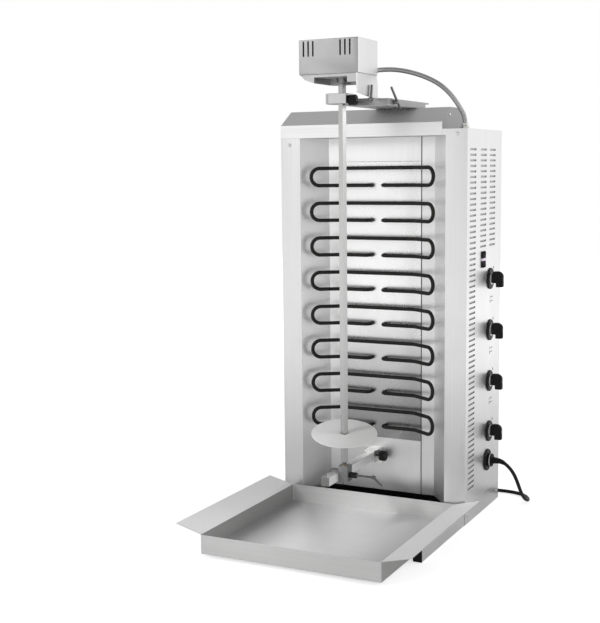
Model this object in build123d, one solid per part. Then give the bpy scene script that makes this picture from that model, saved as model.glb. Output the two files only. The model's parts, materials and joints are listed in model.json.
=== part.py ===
from build123d import *
import os
from math import ceil, cos, hypot, pi, radians, sin, sqrt, tan

# Vertical kebab grill: an electric spit grill with eight heating elements behind a hanging spit.
# Millimetres. X runs to the viewer's right, Y to the back, Z up.
# The origin is on the table, under the middle of the casing's front plane.

# Casing
BODY_W = 460.0
BODY_D = 255.0
BODY_BOTTOM = 43.0
BODY_TOP = 895.0
SHEET = 1.2
COLUMN_W = 50.5
HEADER_BOTTOM = BODY_TOP - 14.0
HOOD_FOLD = BODY_TOP + 16.0
HOOD_TOP = BODY_TOP + 50.0
HOOD_SLOPE_D = 55.0
HOOD_D = 140.0
HOOD_END_GAP = 8.0
HALF_W = BODY_W / 2
COLUMN_IN = HALF_W - COLUMN_W
HOOD_RIGHT = COLUMN_IN - HOOD_END_GAP

# Grilling chamber
WALL_Y = 60.5
FLARE_W = 46.5
WALL_W = 2 * (COLUMN_IN - FLARE_W)
LINING = 1.0
LINING_FLANGE = 12.0
PANEL_MARGIN = 33.0
PANEL_W = WALL_W - 2 * PANEL_MARGIN
PANEL_T = 0.8
SEAM = 0.6
MIRROR_BOTTOM = 171.0
MIRROR_TOP = HEADER_BOTTOM - 56.0

# Heating elements
ELEMENTS = 8
ELEMENT_PITCH = 81.3
ELEMENT_TOP = MIRROR_TOP - 14.0
ELEMENT_RISE = 40.0
ELEMENT_R = 4.25
ELEMENT_STANDOFF = 22.5
ELEMENT_BEND_X = PANEL_W / 2 - 8.0
ELEMENT_TIP_X = COLUMN_IN - 28.5
ELEMENT_TIP_Y = 0.0
ELEMENT_BEND_R = 22.0
LEG_R = 11.0
LEG_GAP = 33.0
LEG_CENTRE = -6.0
LEG_HOLE_R = 6.0
LEG_BACK = 24.0
NUT_FLATS = 17.0
NUT_T = 6.0
BEAD_R = 7.0
BEAD_L = 12.0

# Base and drip tray
RAIL_W = 20.0
RAIL_H = 25.0
RAIL_WALL = 1.5
RAIL_REACH = 271.0
CAP_T = 4.0
CAP_ROUND = 1.5
CAP_PLUG_L = 12.0
CHANNEL_LAP = 10.0
BAR_W = 30.0
BAR_T = 6.0
RUNNER_W = 18.0
RUNNER_T = 1.2
RUNNER_H = 14.0
TRAY_FRONT = 437.0
TRAY_BACK = 4.0
TRAY_H = 41.5
TRAY_SIDE_GAP = 1.6
TRAY_T = 1.2
WING_W = 62.0
WING_RISE = 16.0
TRAY_CORNER = 4.0

# Controls on the right side panel
KNOBS = 4
KNOB_Y = 173.0
KNOB_Z = 184.7
KNOB_PITCH = 121.8
KNOB_R = 25.0
KNOB_SKIRT = 3.0
KNOB_NECK_R = 11.0
KNOB_NECK = 5.0
GRIP_L = 40.0
GRIP_W = 14.0
GRIP_H = 24.0
GRIP_SHOULDER = 9.0
GRIP_SIDE_ROUND = 4.0
KNOB_BORE = 8.0
SPINDLE_R = 3.0
SPINDLE_HOLE_R = 5.0
SWITCH_SIZE = 40.0
SWITCH_DEPTH = 34.0
SWITCH_CORNER = 4.0
SWITCH_BACK = 6.0
ROCKER_Y = 117.0
ROCKER_Z = 599.0
ROCKER_W = 26.0
ROCKER_H = 38.0
ROCKER_LIP = 3.0
ROCKER_RIM = 2.5
ROCKER_DEPTH = 24.0
ROCKER_PIVOT_IN = 6.0
ROCKER_WALL = 2.0
ROCKER_WELL = 14.0
ROCKER_SIDE_GAP = 0.4
ROCKER_END_GAP = 0.7
ROCKER_TAPER = 1.2
ROCKER_PROUD = 1.5
ROCKER_DIP = 2.2
ROCKER_ROOT = 2.8
ROCKER_PIN_R = 1.4
SLOT_L = 43.0
SLOT_W = 4.6
SLOT_PITCH = 12.24
SLOT_TOP = BODY_TOP - 45.0
SLOT_COLUMNS = ((41.0, 64), (117.0, 19), (185.0, 19))

# Vents in the rear sheet, in two groups a side
REAR_VENTS = 12
REAR_VENT_PITCH = 14.0
REAR_VENT_EDGE = 60.0
REAR_VENT_L = 90.0

# Supply cord
CORD_R = 4.2
GLAND_Y = 160.0
GLAND_Z = 117.0
GLAND_FLANGE_R = 26.0
GLAND_FLANGE_T = 4.0
GLAND_BOSS_R = 15.5
GLAND_BOSS_L = 10.0
GLAND_FLANGE_ROUND = 1.5
GLAND_BOSS_ROUND = 2.5
TERMINAL_D = 20.0
TERMINAL_W = 50.0
TERMINAL_H = 30.0
TERMINALS = 5
TERMINAL_PITCH = 10.0
TERMINAL_HOLE_R = 3.0
TERMINAL_HOLE_L = 8.0
RELIEF_L = 15.0
RELIEF_R0 = 8.5
RELIEF_R1 = 6.0
COIL_X = HALF_W - 170.0
COIL_Y = BODY_D + 88.0
COIL_MEAN_R = 46.0
COIL_TURNS = 5
COIL_STEP = 1.1
COIL_LEAD = 46.0
PLUG_W = 36.0
PLUG_L = 38.0
PLUG_NECK = 16.0
PLUG_NECK_R0 = CORD_R + 1.5
PLUG_NECK_R1 = 10.1
PLUG_CORNER = 9.0
PIN_PITCH = 19.0
PIN_R = 2.4
PIN_L = 19.0

# Motor unit on its sliding carriage
BAR = 12.0
SPIT_Y = -154.0
MOTOR_X0 = -72.0
MOTOR_X1 = 65.0
MOTOR_FRONT = 62.0
MOTOR_REAR = 41.0
UNDER_Z = HOOD_TOP + 44.5
MOTOR_BOTTOM = UNDER_Z + 18.5
MOTOR_TOP = MOTOR_BOTTOM + 72.0
MOTOR_SHEET = 1.2
UNDER_INSET = 3.0
PAN_FLAT_X = 34.0
PAN_BEND_X = 12.0
PAN_BEND_H = 7.5
PAN_LIP_H = 6.5
BAY_HALF = 38.0
BAY_BACK = 19.0
VENT_W = 3.6
VENT_L = 32.0
VENT_DROP = 3.0
VENT_STEP = 11.0
VENT_IN_LEFT = 22.0
VENT_IN_RIGHT = 30.0
GEARBOX_W = 84.0
GEARBOX_D = 64.0
GEARBOX_H = 30.0
GEARBOX_GAP = 4.0
GEARBOX_CUT = 10.0
GEARBOX_CORNER = 5.0
PILLAR_X = -16.0
PILLAR_R = 4.0
MOTOR_BODY_R = 24.0
MOTOR_BODY_H = 24.0
MOTOR_BODY_X = 16.0
MOTOR_BODY_Y = 2.0
CARRIAGE_X0 = -10.0
CARRIAGE_X1 = 92.0
CARRIAGE_FRONT = 118.0
CARRIAGE_BACK = 130.0
CARRIAGE_H = 13.7
CARRIAGE_WALL = 3.0
LIP_W = 8.0
LIP_T = 2.0
WINDOW_L = 22.0
BAR_STOP = 24.0
SLIDE_BAR_BACK = 100.0
LEVER_Y = -86.0
LEVER_STEM_R = 3.0
BRACKET_X = 60.0
BRACKET_T = 3.0
BRACKET_FOOT = 16.0
BRACKET_FOOT_L = 43.0
BRACKET_FOOT_T = 2.5
BRACKET_CUT = 9.0
BRACKET_CUT_L = 20.0
BRACKET_BEHIND = 6.0
HOLDER_X0 = -37.0
HOLDER_X1 = 16.0
HOLDER_H = 22.0
HOLDER_LIFT = 2.7
HOLDER_REACH = 16.0
HOLDER_ROUND = 14.0
HOLDER_CLAMP_H = 7.5
HOLDER_HOLE_R = 0.75 * BAR
CONDUIT_R = 5.2
CONDUIT_GLAND_R = 9.0
CONDUIT_GLAND_H = 12.0
CONDUIT_NUT_H = 5.0
CONDUIT_SLEEVE = 1.5
CONDUIT_BOX_X = HALF_W - 16.0
CONDUIT_BOX_Y = 30.0
CONDUIT_MOTOR_X = 44.0
CONDUIT_MOTOR_Z = MOTOR_BOTTOM + 13.0

# Lower arm
ARM_SIZE = 20.0
ARM_WALL = 2.0
ARM_RIGHT = -10.0
ARM_TOP = 138.0
ARM_FRONT = 213.0
ARM_ROUND = 1.5
MOUNT_WALL = 4.0
MOUNT_L = 30.0
FLANGE_W = 14.0
FLANGE_H = 10.0
FLANGE_T = 3.0
ARM_SCREW_IN = 12.0
ARM_SCREW_UP = 3.0
ARM_KNOB_OUT = 10.0
ARM_KNOB_R = 12.0
ARM_KNOB_L = 15.0
ARM_KNOB_ROUND = 2.0
ARM_STEM_IN = 2.0
BLOCK_W = 22.5
BLOCK_L = 24.0
BLOCK_TOP = ARM_TOP + 16.0
BLOCK_WALL = 3.0
BLOCK_ROD_X = 70.0
BLOCK_CLAMP_H = 5.0
BUSH_R = 7.0
BUSH_H = 12.0
STOP_R = 3.0
STOP_H = 5.0
STOP_IN = 9.0

# Spit
SPIT_TURN = -18.3
SPIT_BOTTOM = BLOCK_TOP + 7.0
SOCKET_BOTTOM = UNDER_Z + 3.5
SPIT_TOP = SOCKET_BOTTOM + 14.0
PIVOT_R = 4.0
PIVOT_L = 14.0
SOCKET_R = BAR - 0.5
SOCKET_DEPTH = 27.0
SOCKET_ROOF = 3.0
SHAFT_R = 5.0
SHAFT_L = 22.0
DISC_R = 73.2
DISC_T = 2.0
DISC_Z = 226.0
DISC_TILT = 12.6
DISC_TILT_AZ = 26.5
DISC_HOLE = BAR + 3.5
COLLAR_R = BAR
COLLAR_H = 14.0
COLLAR_SCREW_R = 2.5
COLLAR_SCREW_L = 9.0
COLLAR_HEAD_L = 5.0

# Clamp screws with a hub, a thin shaft and a cross rod
HOLDER_HUB_R = 11.0
HOLDER_HUB_L = 17.0
HOLDER_FLUTES = 12
BLOCK_HUB_R = 6.5
BLOCK_HUB_L = 17.0
BLOCK_FLUTES = 8
HUB_ROUND = 1.2
STEM_R = 2.6
HEAD_R = 4.5
HEAD_L = 3.5
ROD_R = 2.6
FLUTE_R = 1.2
FLUTE_END = 3.0
LEVER_HEAD_L = 9.0

# Cross rods of the clamp screws: their two ends from the screw's axis, as (y, z)
HOLDER_ROD = ((-1.0, -7.0), (5.0, 31.0))
BLOCK_ROD = ((-7.0, 4.7), (46.0, -30.7))
LEVER_ROD = ((24.0, -17.0), (-32.0, 30.0))

# Screw heads
SCREW_R = 4.0
SCREW_H = 2.0
SCREW_EDGE = 15.0
SCREW_OFF_MIDDLE = 2.0
SCREW_UNDER_TOP = 11.0
SCREW_FROM_BEND = 5.0

# Clearances
FIT = 0.05
SLIDE_GAP = 0.15
SOFT_GAP = 0.3
SEAT_GAP = 0.3


def box(x0, x1, y0, y1, z0, z1):
    """A box between two corners."""
    centre = Pos((x0 + x1) / 2, (y0 + y1) / 2, (z0 + z1) / 2)
    return centre * Box(x1 - x0, y1 - y0, z1 - z0)


def rod(start, end, radius):
    """A round rod between two points."""
    a, b = Vector(*start), Vector(*end)
    plane = Plane(origin=a, z_dir=(b - a).normalized())
    return plane * Pos(0, 0, (b - a).length / 2) * Cylinder(radius, (b - a).length)


def cone(start, end, radius0, radius1):
    """A tapered rod between two points."""
    a, b = Vector(*start), Vector(*end)
    plane = Plane(origin=a, z_dir=(b - a).normalized())
    return plane * Pos(0, 0, (b - a).length / 2) * Cone(radius0, radius1, (b - a).length)


def prism_x(points, x0, x1):
    """A polygon of (y, z) points drawn out along X."""
    face = make_face(Polyline(*[(x0, y, z) for y, z in points], close=True))
    return extrude(face, amount=x1 - x0, dir=(1, 0, 0))


def prism_y(points, y0, y1):
    """A polygon of (x, z) points drawn out along Y."""
    face = make_face(Polyline(*[(x, y0, z) for x, z in points], close=True))
    return extrude(face, amount=y1 - y0, dir=(0, 1, 0))


def prism_z(points, z0, z1):
    """A polygon of (x, y) points drawn out along Z."""
    face = make_face(Polyline(*[(x, y, z0) for x, y in points], close=True))
    return extrude(face, amount=z1 - z0, dir=(0, 0, 1))


def folded(path, thickness):
    """The outline of a sheet of the given thickness on the left of a folded path."""
    inner = []
    last = len(path) - 1
    for i, (u, v) in enumerate(path):
        normals = []
        for j in (i - 1, i):
            if 0 <= j < last:
                du, dv = path[j + 1][0] - path[j][0], path[j + 1][1] - path[j][1]
                length = hypot(du, dv)
                normals.append((-dv / length, du / length))
        nu = sum(n[0] for n in normals) / len(normals)
        nv = sum(n[1] for n in normals) / len(normals)
        scale = thickness / (nu * nu + nv * nv)
        inner.append((u + nu * scale, v + nv * scale))
    return list(path) + inner[::-1]


def fused(parts):
    """One solid from several that touch or overlap."""
    whole = parts[0]
    for piece in parts[1:]:
        whole = whole + piece
    return whole


def mirrored(shape):
    """The same shape on the other side of the middle plane."""
    return mirror(shape, about=Plane.YZ)


def rounded_edges(shape, axis, radius):
    """Rounds every edge that runs along one axis."""
    return fillet(shape.edges().filter_by(axis), radius)


def tube_along(points, radii, radius):
    """A round tube along straight runs joined by tangent arcs."""
    path = FilletPolyline(*points, radius=radii)
    start = Vector(*points[0])
    direction = (Vector(*points[1]) - start).normalized()
    section = Plane(origin=start, z_dir=direction) * Circle(radius)
    return sweep(section, path=path), path


def corner_radii(points):
    """For each corner, 0.45 of the shorter run over the tangent of half the turn."""
    radii = []
    for a, b, c in zip(points, points[1:], points[2:]):
        first, second = Vector(*b) - Vector(*a), Vector(*c) - Vector(*b)
        turn = radians(first.get_angle(second))
        radii.append(0.45 * min(first.length, second.length) / tan(turn / 2))
    return radii


def left_casing():
    side = prism_x(
        [
            (0, BODY_BOTTOM),
            (BODY_D, BODY_BOTTOM),
            (BODY_D, BODY_TOP),
            (HOOD_D, BODY_TOP),
            (HOOD_D, HEADER_BOTTOM),
            (0, HEADER_BOTTOM),
        ],
        -HALF_W,
        -HALF_W + SHEET,
    )
    column = box(-HALF_W, -COLUMN_IN, 0, SHEET, BODY_BOTTOM, HEADER_BOTTOM)
    return side + column


def slot_positions():
    """The vent slots of the side panel: the middle of each one, as (y, z)."""
    for y, count in SLOT_COLUMNS:
        for k in range(count):
            yield y, SLOT_TOP - k * SLOT_PITCH


def knob_heights():
    return [KNOB_Z + k * KNOB_PITCH for k in range(KNOBS)][::-1]


def control_cover():
    """Front column, slotted side panel and flat top of the control box, folded from one sheet."""
    front = prism_y(
        [
            (COLUMN_IN, BODY_BOTTOM),
            (HALF_W, BODY_BOTTOM),
            (HALF_W, BODY_TOP),
            (HOOD_RIGHT, BODY_TOP),
            (HOOD_RIGHT, HEADER_BOTTOM),
            (COLUMN_IN, HEADER_BOTTOM),
        ],
        0,
        SHEET,
    )
    side = box(HALF_W - SHEET, HALF_W, 0, BODY_D, BODY_BOTTOM, BODY_TOP)
    top = box(HOOD_RIGHT, HALF_W, 0, BODY_D, BODY_TOP - SHEET, BODY_TOP)
    cover = front + side + top
    x0, x1 = HALF_W - 2 * SHEET, HALF_W + SHEET
    cuts = []
    for y, z in slot_positions():
        cuts.append(box(x0, x1, y - SLOT_L / 2, y + SLOT_L / 2, z - SLOT_W / 2, z + SLOT_W / 2))
    for z in knob_heights():
        cuts.append(rod((x0, KNOB_Y, z), (x1, KNOB_Y, z), SPINDLE_HOLE_R))
    half_w, half_h = ROCKER_W / 2, ROCKER_H / 2
    cuts.append(box(x0, x1, ROCKER_Y - half_w, ROCKER_Y + half_w, ROCKER_Z - half_h, ROCKER_Z + half_h))
    cuts.append(rod((x0, GLAND_Y, GLAND_Z), (x1, GLAND_Y, GLAND_Z), CORD_R + 2))
    conduit_hole = (CONDUIT_BOX_X, CONDUIT_BOX_Y)
    cuts.append(rod((*conduit_hole, BODY_TOP - 2 * SHEET), (*conduit_hole, BODY_TOP + SHEET), CONDUIT_R))
    return cover.cut(*cuts)


def inner_partition():
    """Sheet between the hot space behind the chamber wall and the control box."""
    x = HOOD_RIGHT - SHEET
    roof = BODY_TOP - SHEET
    return box(x, x + SHEET, WALL_Y + LINING, BODY_D - SHEET, BODY_BOTTOM + SHEET, roof)


def back_panel():
    """Rear sheet with two groups of vents a side, folded over the top behind the hood."""
    panel = box(
        -HALF_W + SHEET, HALF_W - SHEET, BODY_D - SHEET, BODY_D, BODY_BOTTOM, BODY_TOP - SHEET
    )
    roof = box(-HALF_W + SHEET, HOOD_RIGHT, HOOD_D, BODY_D, BODY_TOP - SHEET, BODY_TOP)
    cuts = []
    for side in (-1, 1):
        x = side * BODY_W / 4
        for k in range(REAR_VENTS):
            step = REAR_VENT_EDGE + k * REAR_VENT_PITCH
            for z in (BODY_BOTTOM + step, BODY_TOP - step):
                cuts.append(
                    box(
                        x - REAR_VENT_L / 2,
                        x + REAR_VENT_L / 2,
                        BODY_D - 2 * SHEET,
                        BODY_D + SHEET,
                        z - SLOT_W / 2,
                        z + SLOT_W / 2,
                    )
                )
    return (panel + roof).cut(*cuts)


def floor_plate():
    return box(
        -HALF_W + SHEET, HALF_W - SHEET, WALL_Y + LINING, BODY_D - SHEET, BODY_BOTTOM, BODY_BOTTOM + SHEET
    )


def hood():
    """Header, sloping front, flat top and closed ends above the chamber."""
    profile = [
        (WALL_Y, HEADER_BOTTOM),
        (0, HEADER_BOTTOM),
        (0, HOOD_FOLD),
        (HOOD_SLOPE_D, HOOD_TOP),
        (HOOD_D, HOOD_TOP),
        (HOOD_D, BODY_TOP),
    ]
    shell = prism_x(folded(profile[::-1], SHEET), -HALF_W, HOOD_RIGHT)
    end = [
        (0, HEADER_BOTTOM),
        (0, HOOD_FOLD),
        (HOOD_SLOPE_D, HOOD_TOP),
        (HOOD_D, HOOD_TOP),
        (HOOD_D, HEADER_BOTTOM),
    ]
    left = prism_x(end, -HALF_W, -HALF_W + SHEET)
    right = prism_x(end, HOOD_RIGHT - SHEET, HOOD_RIGHT)
    right = right - box(
        HOOD_RIGHT - 2 * SHEET, HOOD_RIGHT + SHEET, WALL_Y + LINING, HOOD_D + SHEET, 0, BODY_TOP - SHEET
    )
    return fused([shell, left, right])


def leg_positions():
    """Where the element legs pass through the chamber wall, as (x, z)."""
    for k in range(ELEMENTS):
        z = ELEMENT_TOP - k * ELEMENT_PITCH - ELEMENT_RISE
        for side in (-1, 1):
            yield LEG_CENTRE + side * LEG_GAP / 2, z


def chamber_lining():
    """Back wall and the two flared sides of the grilling chamber, one folded sheet."""
    path = [
        (COLUMN_IN + LINING_FLANGE, SHEET),
        (COLUMN_IN, SHEET),
        (WALL_W / 2, WALL_Y),
        (-WALL_W / 2, WALL_Y),
        (-COLUMN_IN, SHEET),
        (-COLUMN_IN - LINING_FLANGE, SHEET),
    ]
    sheet = prism_z(folded(path[::-1], LINING), BODY_BOTTOM, HEADER_BOTTOM)
    holes = [rod((x, WALL_Y - 5, z), (x, WALL_Y + 5, z), LEG_HOLE_R) for x, z in leg_positions()]
    return sheet.cut(*holes)


def chamber_panels():
    """Plain panels above and below the polished reflector."""
    half = PANEL_W / 2
    upper = box(-half, half, WALL_Y - PANEL_T, WALL_Y, MIRROR_TOP + SEAM, HEADER_BOTTOM)
    lower = box(-half, half, WALL_Y - PANEL_T, WALL_Y, BODY_BOTTOM, MIRROR_BOTTOM - SEAM)
    return [upper, lower]


def reflector():
    half = PANEL_W / 2
    plate = box(-half, half, WALL_Y - LINING, WALL_Y, MIRROR_BOTTOM, MIRROR_TOP)
    holes = [rod((x, WALL_Y - 5, z), (x, WALL_Y + 5, z), LEG_HOLE_R) for x, z in leg_positions()]
    return plate.cut(*holes)


def heating_element(k):
    """One sheathed loop: both ends bent forward, the lower bar split for its two legs."""
    high = ELEMENT_TOP - k * ELEMENT_PITCH
    low = high - ELEMENT_RISE
    y = WALL_Y - ELEMENT_STANDOFF
    left_leg, right_leg = LEG_CENTRE - LEG_GAP / 2, LEG_CENTRE + LEG_GAP / 2
    back = WALL_Y + LEG_BACK
    points = [
        (left_leg, back, low),
        (left_leg, y, low),
        (-ELEMENT_BEND_X, y, low),
        (-ELEMENT_TIP_X, ELEMENT_TIP_Y, low),
        (-ELEMENT_TIP_X, ELEMENT_TIP_Y, high),
        (-ELEMENT_BEND_X, y, high),
        (ELEMENT_BEND_X, y, high),
        (ELEMENT_TIP_X, ELEMENT_TIP_Y, high),
        (ELEMENT_TIP_X, ELEMENT_TIP_Y, low),
        (ELEMENT_BEND_X, y, low),
        (right_leg, y, low),
        (right_leg, back, low),
    ]
    end_r = 0.49 * ELEMENT_RISE
    bend = ELEMENT_BEND_R
    radii = [LEG_R, bend, end_r, end_r, bend, bend, end_r, end_r, bend, LEG_R]
    return tube_along(points, radii, ELEMENT_R)[0]


def element_nuts():
    """Hexagon nuts that hold the element legs behind the chamber wall."""
    nuts = []
    start = WALL_Y + LINING
    for x, z in leg_positions():
        plane = Plane(origin=(x, start, z), x_dir=(1, 0, 0), z_dir=(0, 1, 0))
        hexagon = extrude(plane * RegularPolygon(NUT_FLATS / 2, 6, major_radius=False), amount=NUT_T)
        nuts.append(hexagon - rod((x, start - 1, z), (x, start + NUT_T + 1, z), ELEMENT_R + FIT))
    return nuts


def element_beads(k):
    """Ceramic beads round the two ends of one element, behind their nuts."""
    beads = []
    start = WALL_Y + LINING + NUT_T
    for x, z in list(leg_positions())[2 * k : 2 * k + 2]:
        outer = rod((x, start, z), (x, start + BEAD_L, z), BEAD_R)
        beads.append(outer - rod((x, start - 1, z), (x, start + BEAD_L + 1, z), ELEMENT_R + FIT))
    return beads


RAIL_OUT = HALF_W - SHEET
RAIL_IN = RAIL_OUT - RAIL_W


def rail():
    """Right base rail: a rectangular tube from the back of the casing to the front of the tray."""
    outer = box(RAIL_IN, RAIL_OUT, -RAIL_REACH, BODY_D, 0, RAIL_H)
    inner = box(
        RAIL_IN + RAIL_WALL,
        RAIL_OUT - RAIL_WALL,
        -RAIL_REACH - 1,
        BODY_D + 1,
        RAIL_WALL,
        RAIL_H - RAIL_WALL,
    )
    return outer - inner


def rail_cap():
    """Push-in end cap of a rail."""
    plate = box(RAIL_IN, RAIL_OUT, -RAIL_REACH - CAP_T, -RAIL_REACH, 0, RAIL_H)
    plate = rounded_edges(plate, Axis.Z, CAP_ROUND)
    gap = RAIL_WALL + FIT
    plug = box(
        RAIL_IN + gap, RAIL_OUT - gap, -RAIL_REACH - CAP_T / 2, -RAIL_REACH + CAP_PLUG_L, gap, RAIL_H - gap
    )
    return plate + plug


def base_channel():
    """Folded channel that carries the casing on the rail."""
    side = box(RAIL_OUT, HALF_W, 0, BODY_D, 0, BODY_BOTTOM)
    top = box(RAIL_IN - SHEET, HALF_W, 0, BODY_D, BODY_BOTTOM - SHEET, BODY_BOTTOM)
    web = box(RAIL_IN - SHEET, RAIL_IN, 0, BODY_D, RAIL_H - CHANNEL_LAP, BODY_BOTTOM)
    front = box(RAIL_IN - SHEET, HALF_W, 0, SHEET, RAIL_H + SOFT_GAP, BODY_BOTTOM)
    return fused([side, top, web, front])


def crossbars():
    """Flat bars between the rails; the front one is the middle of the resting face."""
    front = box(-RAIL_IN, RAIL_IN, -BAR_W / 2, BAR_W / 2, 0, BAR_T)
    rear = box(-RAIL_IN, RAIL_IN, BODY_D - BAR_W, BODY_D, 0, BAR_T)
    return [front, rear]


RUNNER_TOP = BAR_T + RUNNER_T


def runner():
    """Angle on the right rail's inner face; the drip tray slides on it."""
    ledge = box(RAIL_IN - RUNNER_W, RAIL_IN, -RAIL_REACH, -SOFT_GAP, BAR_T, RUNNER_TOP)
    wall = box(RAIL_IN - RUNNER_T, RAIL_IN, -RAIL_REACH, -SOFT_GAP, BAR_T, BAR_T + RUNNER_H)
    return ledge + wall


PAN_HALF = RAIL_IN - RUNNER_T - TRAY_SIDE_GAP
TRAY_Z = RUNNER_TOP + SEAT_GAP


def drip_tray():
    """Open pan with a wing along each side that leads drips inwards."""
    top = TRAY_Z + TRAY_H
    outer = box(-PAN_HALF, PAN_HALF, -TRAY_FRONT, -TRAY_BACK, TRAY_Z, top)
    outer = rounded_edges(outer, Axis.Z, TRAY_CORNER)
    inner = box(
        -PAN_HALF + TRAY_T,
        PAN_HALF - TRAY_T,
        -TRAY_FRONT + TRAY_T,
        -TRAY_BACK - TRAY_T,
        TRAY_Z + TRAY_T,
        top + 10,
    )
    inner = rounded_edges(inner, Axis.Z, TRAY_CORNER - TRAY_T)
    inset = TRAY_CORNER
    edge = PAN_HALF - TRAY_T
    wing_path = [(edge, top - TRAY_T), (PAN_HALF + WING_W, top - TRAY_T + WING_RISE)]
    wing = prism_y(folded(wing_path, TRAY_T), -TRAY_FRONT + inset, -TRAY_BACK - inset)
    return fused([outer - inner, wing, mirrored(wing)])


def switch_bodies():
    """Rotary switches on the inner face of the side panel."""
    bodies = []
    x1 = HALF_W - SHEET
    half = SWITCH_SIZE / 2
    for z in knob_heights():
        case = box(x1 - SWITCH_DEPTH, x1, KNOB_Y - half, KNOB_Y + half, z - half, z + half)
        case = rounded_edges(case, Axis.X, SWITCH_CORNER)
        bore = rod((x1 - SWITCH_DEPTH + SWITCH_BACK, KNOB_Y, z), (x1 + 1, KNOB_Y, z), SPINDLE_R + FIT)
        bodies.append(case - bore)
    return bodies


KNOB_X = HALF_W + 0.5


def knob(z):
    """Round skirt, neck and a bar grip with rounded shoulders."""
    skirt = rod((KNOB_X, KNOB_Y, z), (KNOB_X + KNOB_SKIRT, KNOB_Y, z), KNOB_R)
    grip_x = KNOB_X + KNOB_SKIRT + KNOB_NECK
    neck = rod((KNOB_X, KNOB_Y, z), (grip_x + 2, KNOB_Y, z), KNOB_NECK_R)
    half_l, half_w = GRIP_L / 2, GRIP_W / 2
    grip = box(grip_x, grip_x + GRIP_H, KNOB_Y - half_w, KNOB_Y + half_w, z - half_l, z + half_l)
    far = grip.faces().sort_by(Axis.X)[-1]
    shoulders = far.edges().filter_by(Axis.Y)
    grip = fillet(shoulders, GRIP_SHOULDER)
    sides = grip.edges().filter_by(Axis.X)
    grip = fillet(sides, GRIP_SIDE_ROUND)
    bore = rod((KNOB_X - 1, KNOB_Y, z), (grip_x + KNOB_BORE, KNOB_Y, z), SPINDLE_R + FIT)
    return fused([skirt, neck, grip]) - bore


def spindle(z):
    """Switch spindle that the knob turns."""
    x0 = HALF_W - SHEET - SWITCH_DEPTH + SWITCH_BACK + 0.5
    x1 = KNOB_X + KNOB_SKIRT + KNOB_NECK + KNOB_BORE - 1
    return rod((x0, KNOB_Y, z), (x1, KNOB_Y, z), SPINDLE_R)


ROCKER_PIVOT_X = HALF_W - ROCKER_PIVOT_IN


def rocker_frame():
    """Bezel and body of the motor switch, snapped into the side panel."""
    half_w, half_h = ROCKER_W / 2, ROCKER_H / 2
    bezel = box(
        HALF_W,
        HALF_W + ROCKER_LIP,
        ROCKER_Y - half_w - ROCKER_RIM,
        ROCKER_Y + half_w + ROCKER_RIM,
        ROCKER_Z - half_h - ROCKER_RIM,
        ROCKER_Z + half_h + ROCKER_RIM,
    )
    bezel = rounded_edges(bezel, Axis.X, 2)
    gap = SLIDE_GAP
    case = box(
        HALF_W - ROCKER_DEPTH,
        HALF_W + ROCKER_LIP,
        ROCKER_Y - half_w + gap,
        ROCKER_Y + half_w - gap,
        ROCKER_Z - half_h + gap,
        ROCKER_Z + half_h - gap,
    )
    wall = ROCKER_WALL
    well = box(
        HALF_W - ROCKER_WELL,
        HALF_W + ROCKER_LIP + 1,
        ROCKER_Y - half_w + wall,
        ROCKER_Y + half_w - wall,
        ROCKER_Z - half_h + wall,
        ROCKER_Z + half_h - wall,
    )
    pin_y = (well.bounding_box().min.Y - wall / 2, well.bounding_box().max.Y + wall / 2)
    pin = rod((ROCKER_PIVOT_X, pin_y[0], ROCKER_Z), (ROCKER_PIVOT_X, pin_y[1], ROCKER_Z), ROCKER_PIN_R)
    return bezel + case - well + pin


def rocker_button():
    """Two-winged rocker: its halves tip in about the pin across the well."""
    half_w = ROCKER_W / 2 - ROCKER_WALL - ROCKER_SIDE_GAP
    half_h = ROCKER_H / 2 - ROCKER_WALL - ROCKER_END_GAP
    face = HALF_W + ROCKER_LIP + ROCKER_PROUD
    wing = HALF_W - ROCKER_PROUD
    root = ROCKER_PIVOT_X - ROCKER_ROOT
    profile = [
        (root, ROCKER_Z - ROCKER_ROOT),
        (wing, ROCKER_Z - half_h),
        (face, ROCKER_Z - half_h + ROCKER_TAPER),
        (face - ROCKER_DIP, ROCKER_Z),
        (face, ROCKER_Z + half_h - ROCKER_TAPER),
        (wing, ROCKER_Z + half_h),
        (root, ROCKER_Z + ROCKER_ROOT),
    ]
    y0, y1 = ROCKER_Y - half_w, ROCKER_Y + half_w
    x, z = ROCKER_PIVOT_X, ROCKER_Z
    bore = rod((x, y0 - 1, z), (x, y1 + 1, z), ROCKER_PIN_R + SLIDE_GAP)
    return prism_y(profile, y0, y1) - bore


def terminal_block():
    """Supply terminals on the partition, beside the cord's entry."""
    x0, x1 = HOOD_RIGHT, HOOD_RIGHT + TERMINAL_D
    half_w, half_h = TERMINAL_W / 2, TERMINAL_H / 2
    body = box(x0, x1, GLAND_Y - half_w, GLAND_Y + half_w, GLAND_Z - half_h, GLAND_Z + half_h)
    cuts = []
    for k in range(TERMINALS):
        y = GLAND_Y + (k - (TERMINALS - 1) / 2) * TERMINAL_PITCH
        cuts.append(rod((x1 - TERMINAL_HOLE_L, y, GLAND_Z), (x1 + 1, y, GLAND_Z), TERMINAL_HOLE_R))
    return body.cut(*cuts)


def cable_gland():
    """Round flange and boss that lead the supply cord out of the side panel."""
    flange = rod((HALF_W, GLAND_Y, GLAND_Z), (HALF_W + GLAND_FLANGE_T, GLAND_Y, GLAND_Z), GLAND_FLANGE_R)
    flange = fillet(flange.edges().group_by(Axis.X)[-1], GLAND_FLANGE_ROUND)
    end = HALF_W + GLAND_FLANGE_T + GLAND_BOSS_L
    boss = rod((HALF_W, GLAND_Y, GLAND_Z), (end, GLAND_Y, GLAND_Z), GLAND_BOSS_R)
    boss = fillet(boss.edges().group_by(Axis.X)[-1], GLAND_BOSS_ROUND)
    return flange + boss


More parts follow.
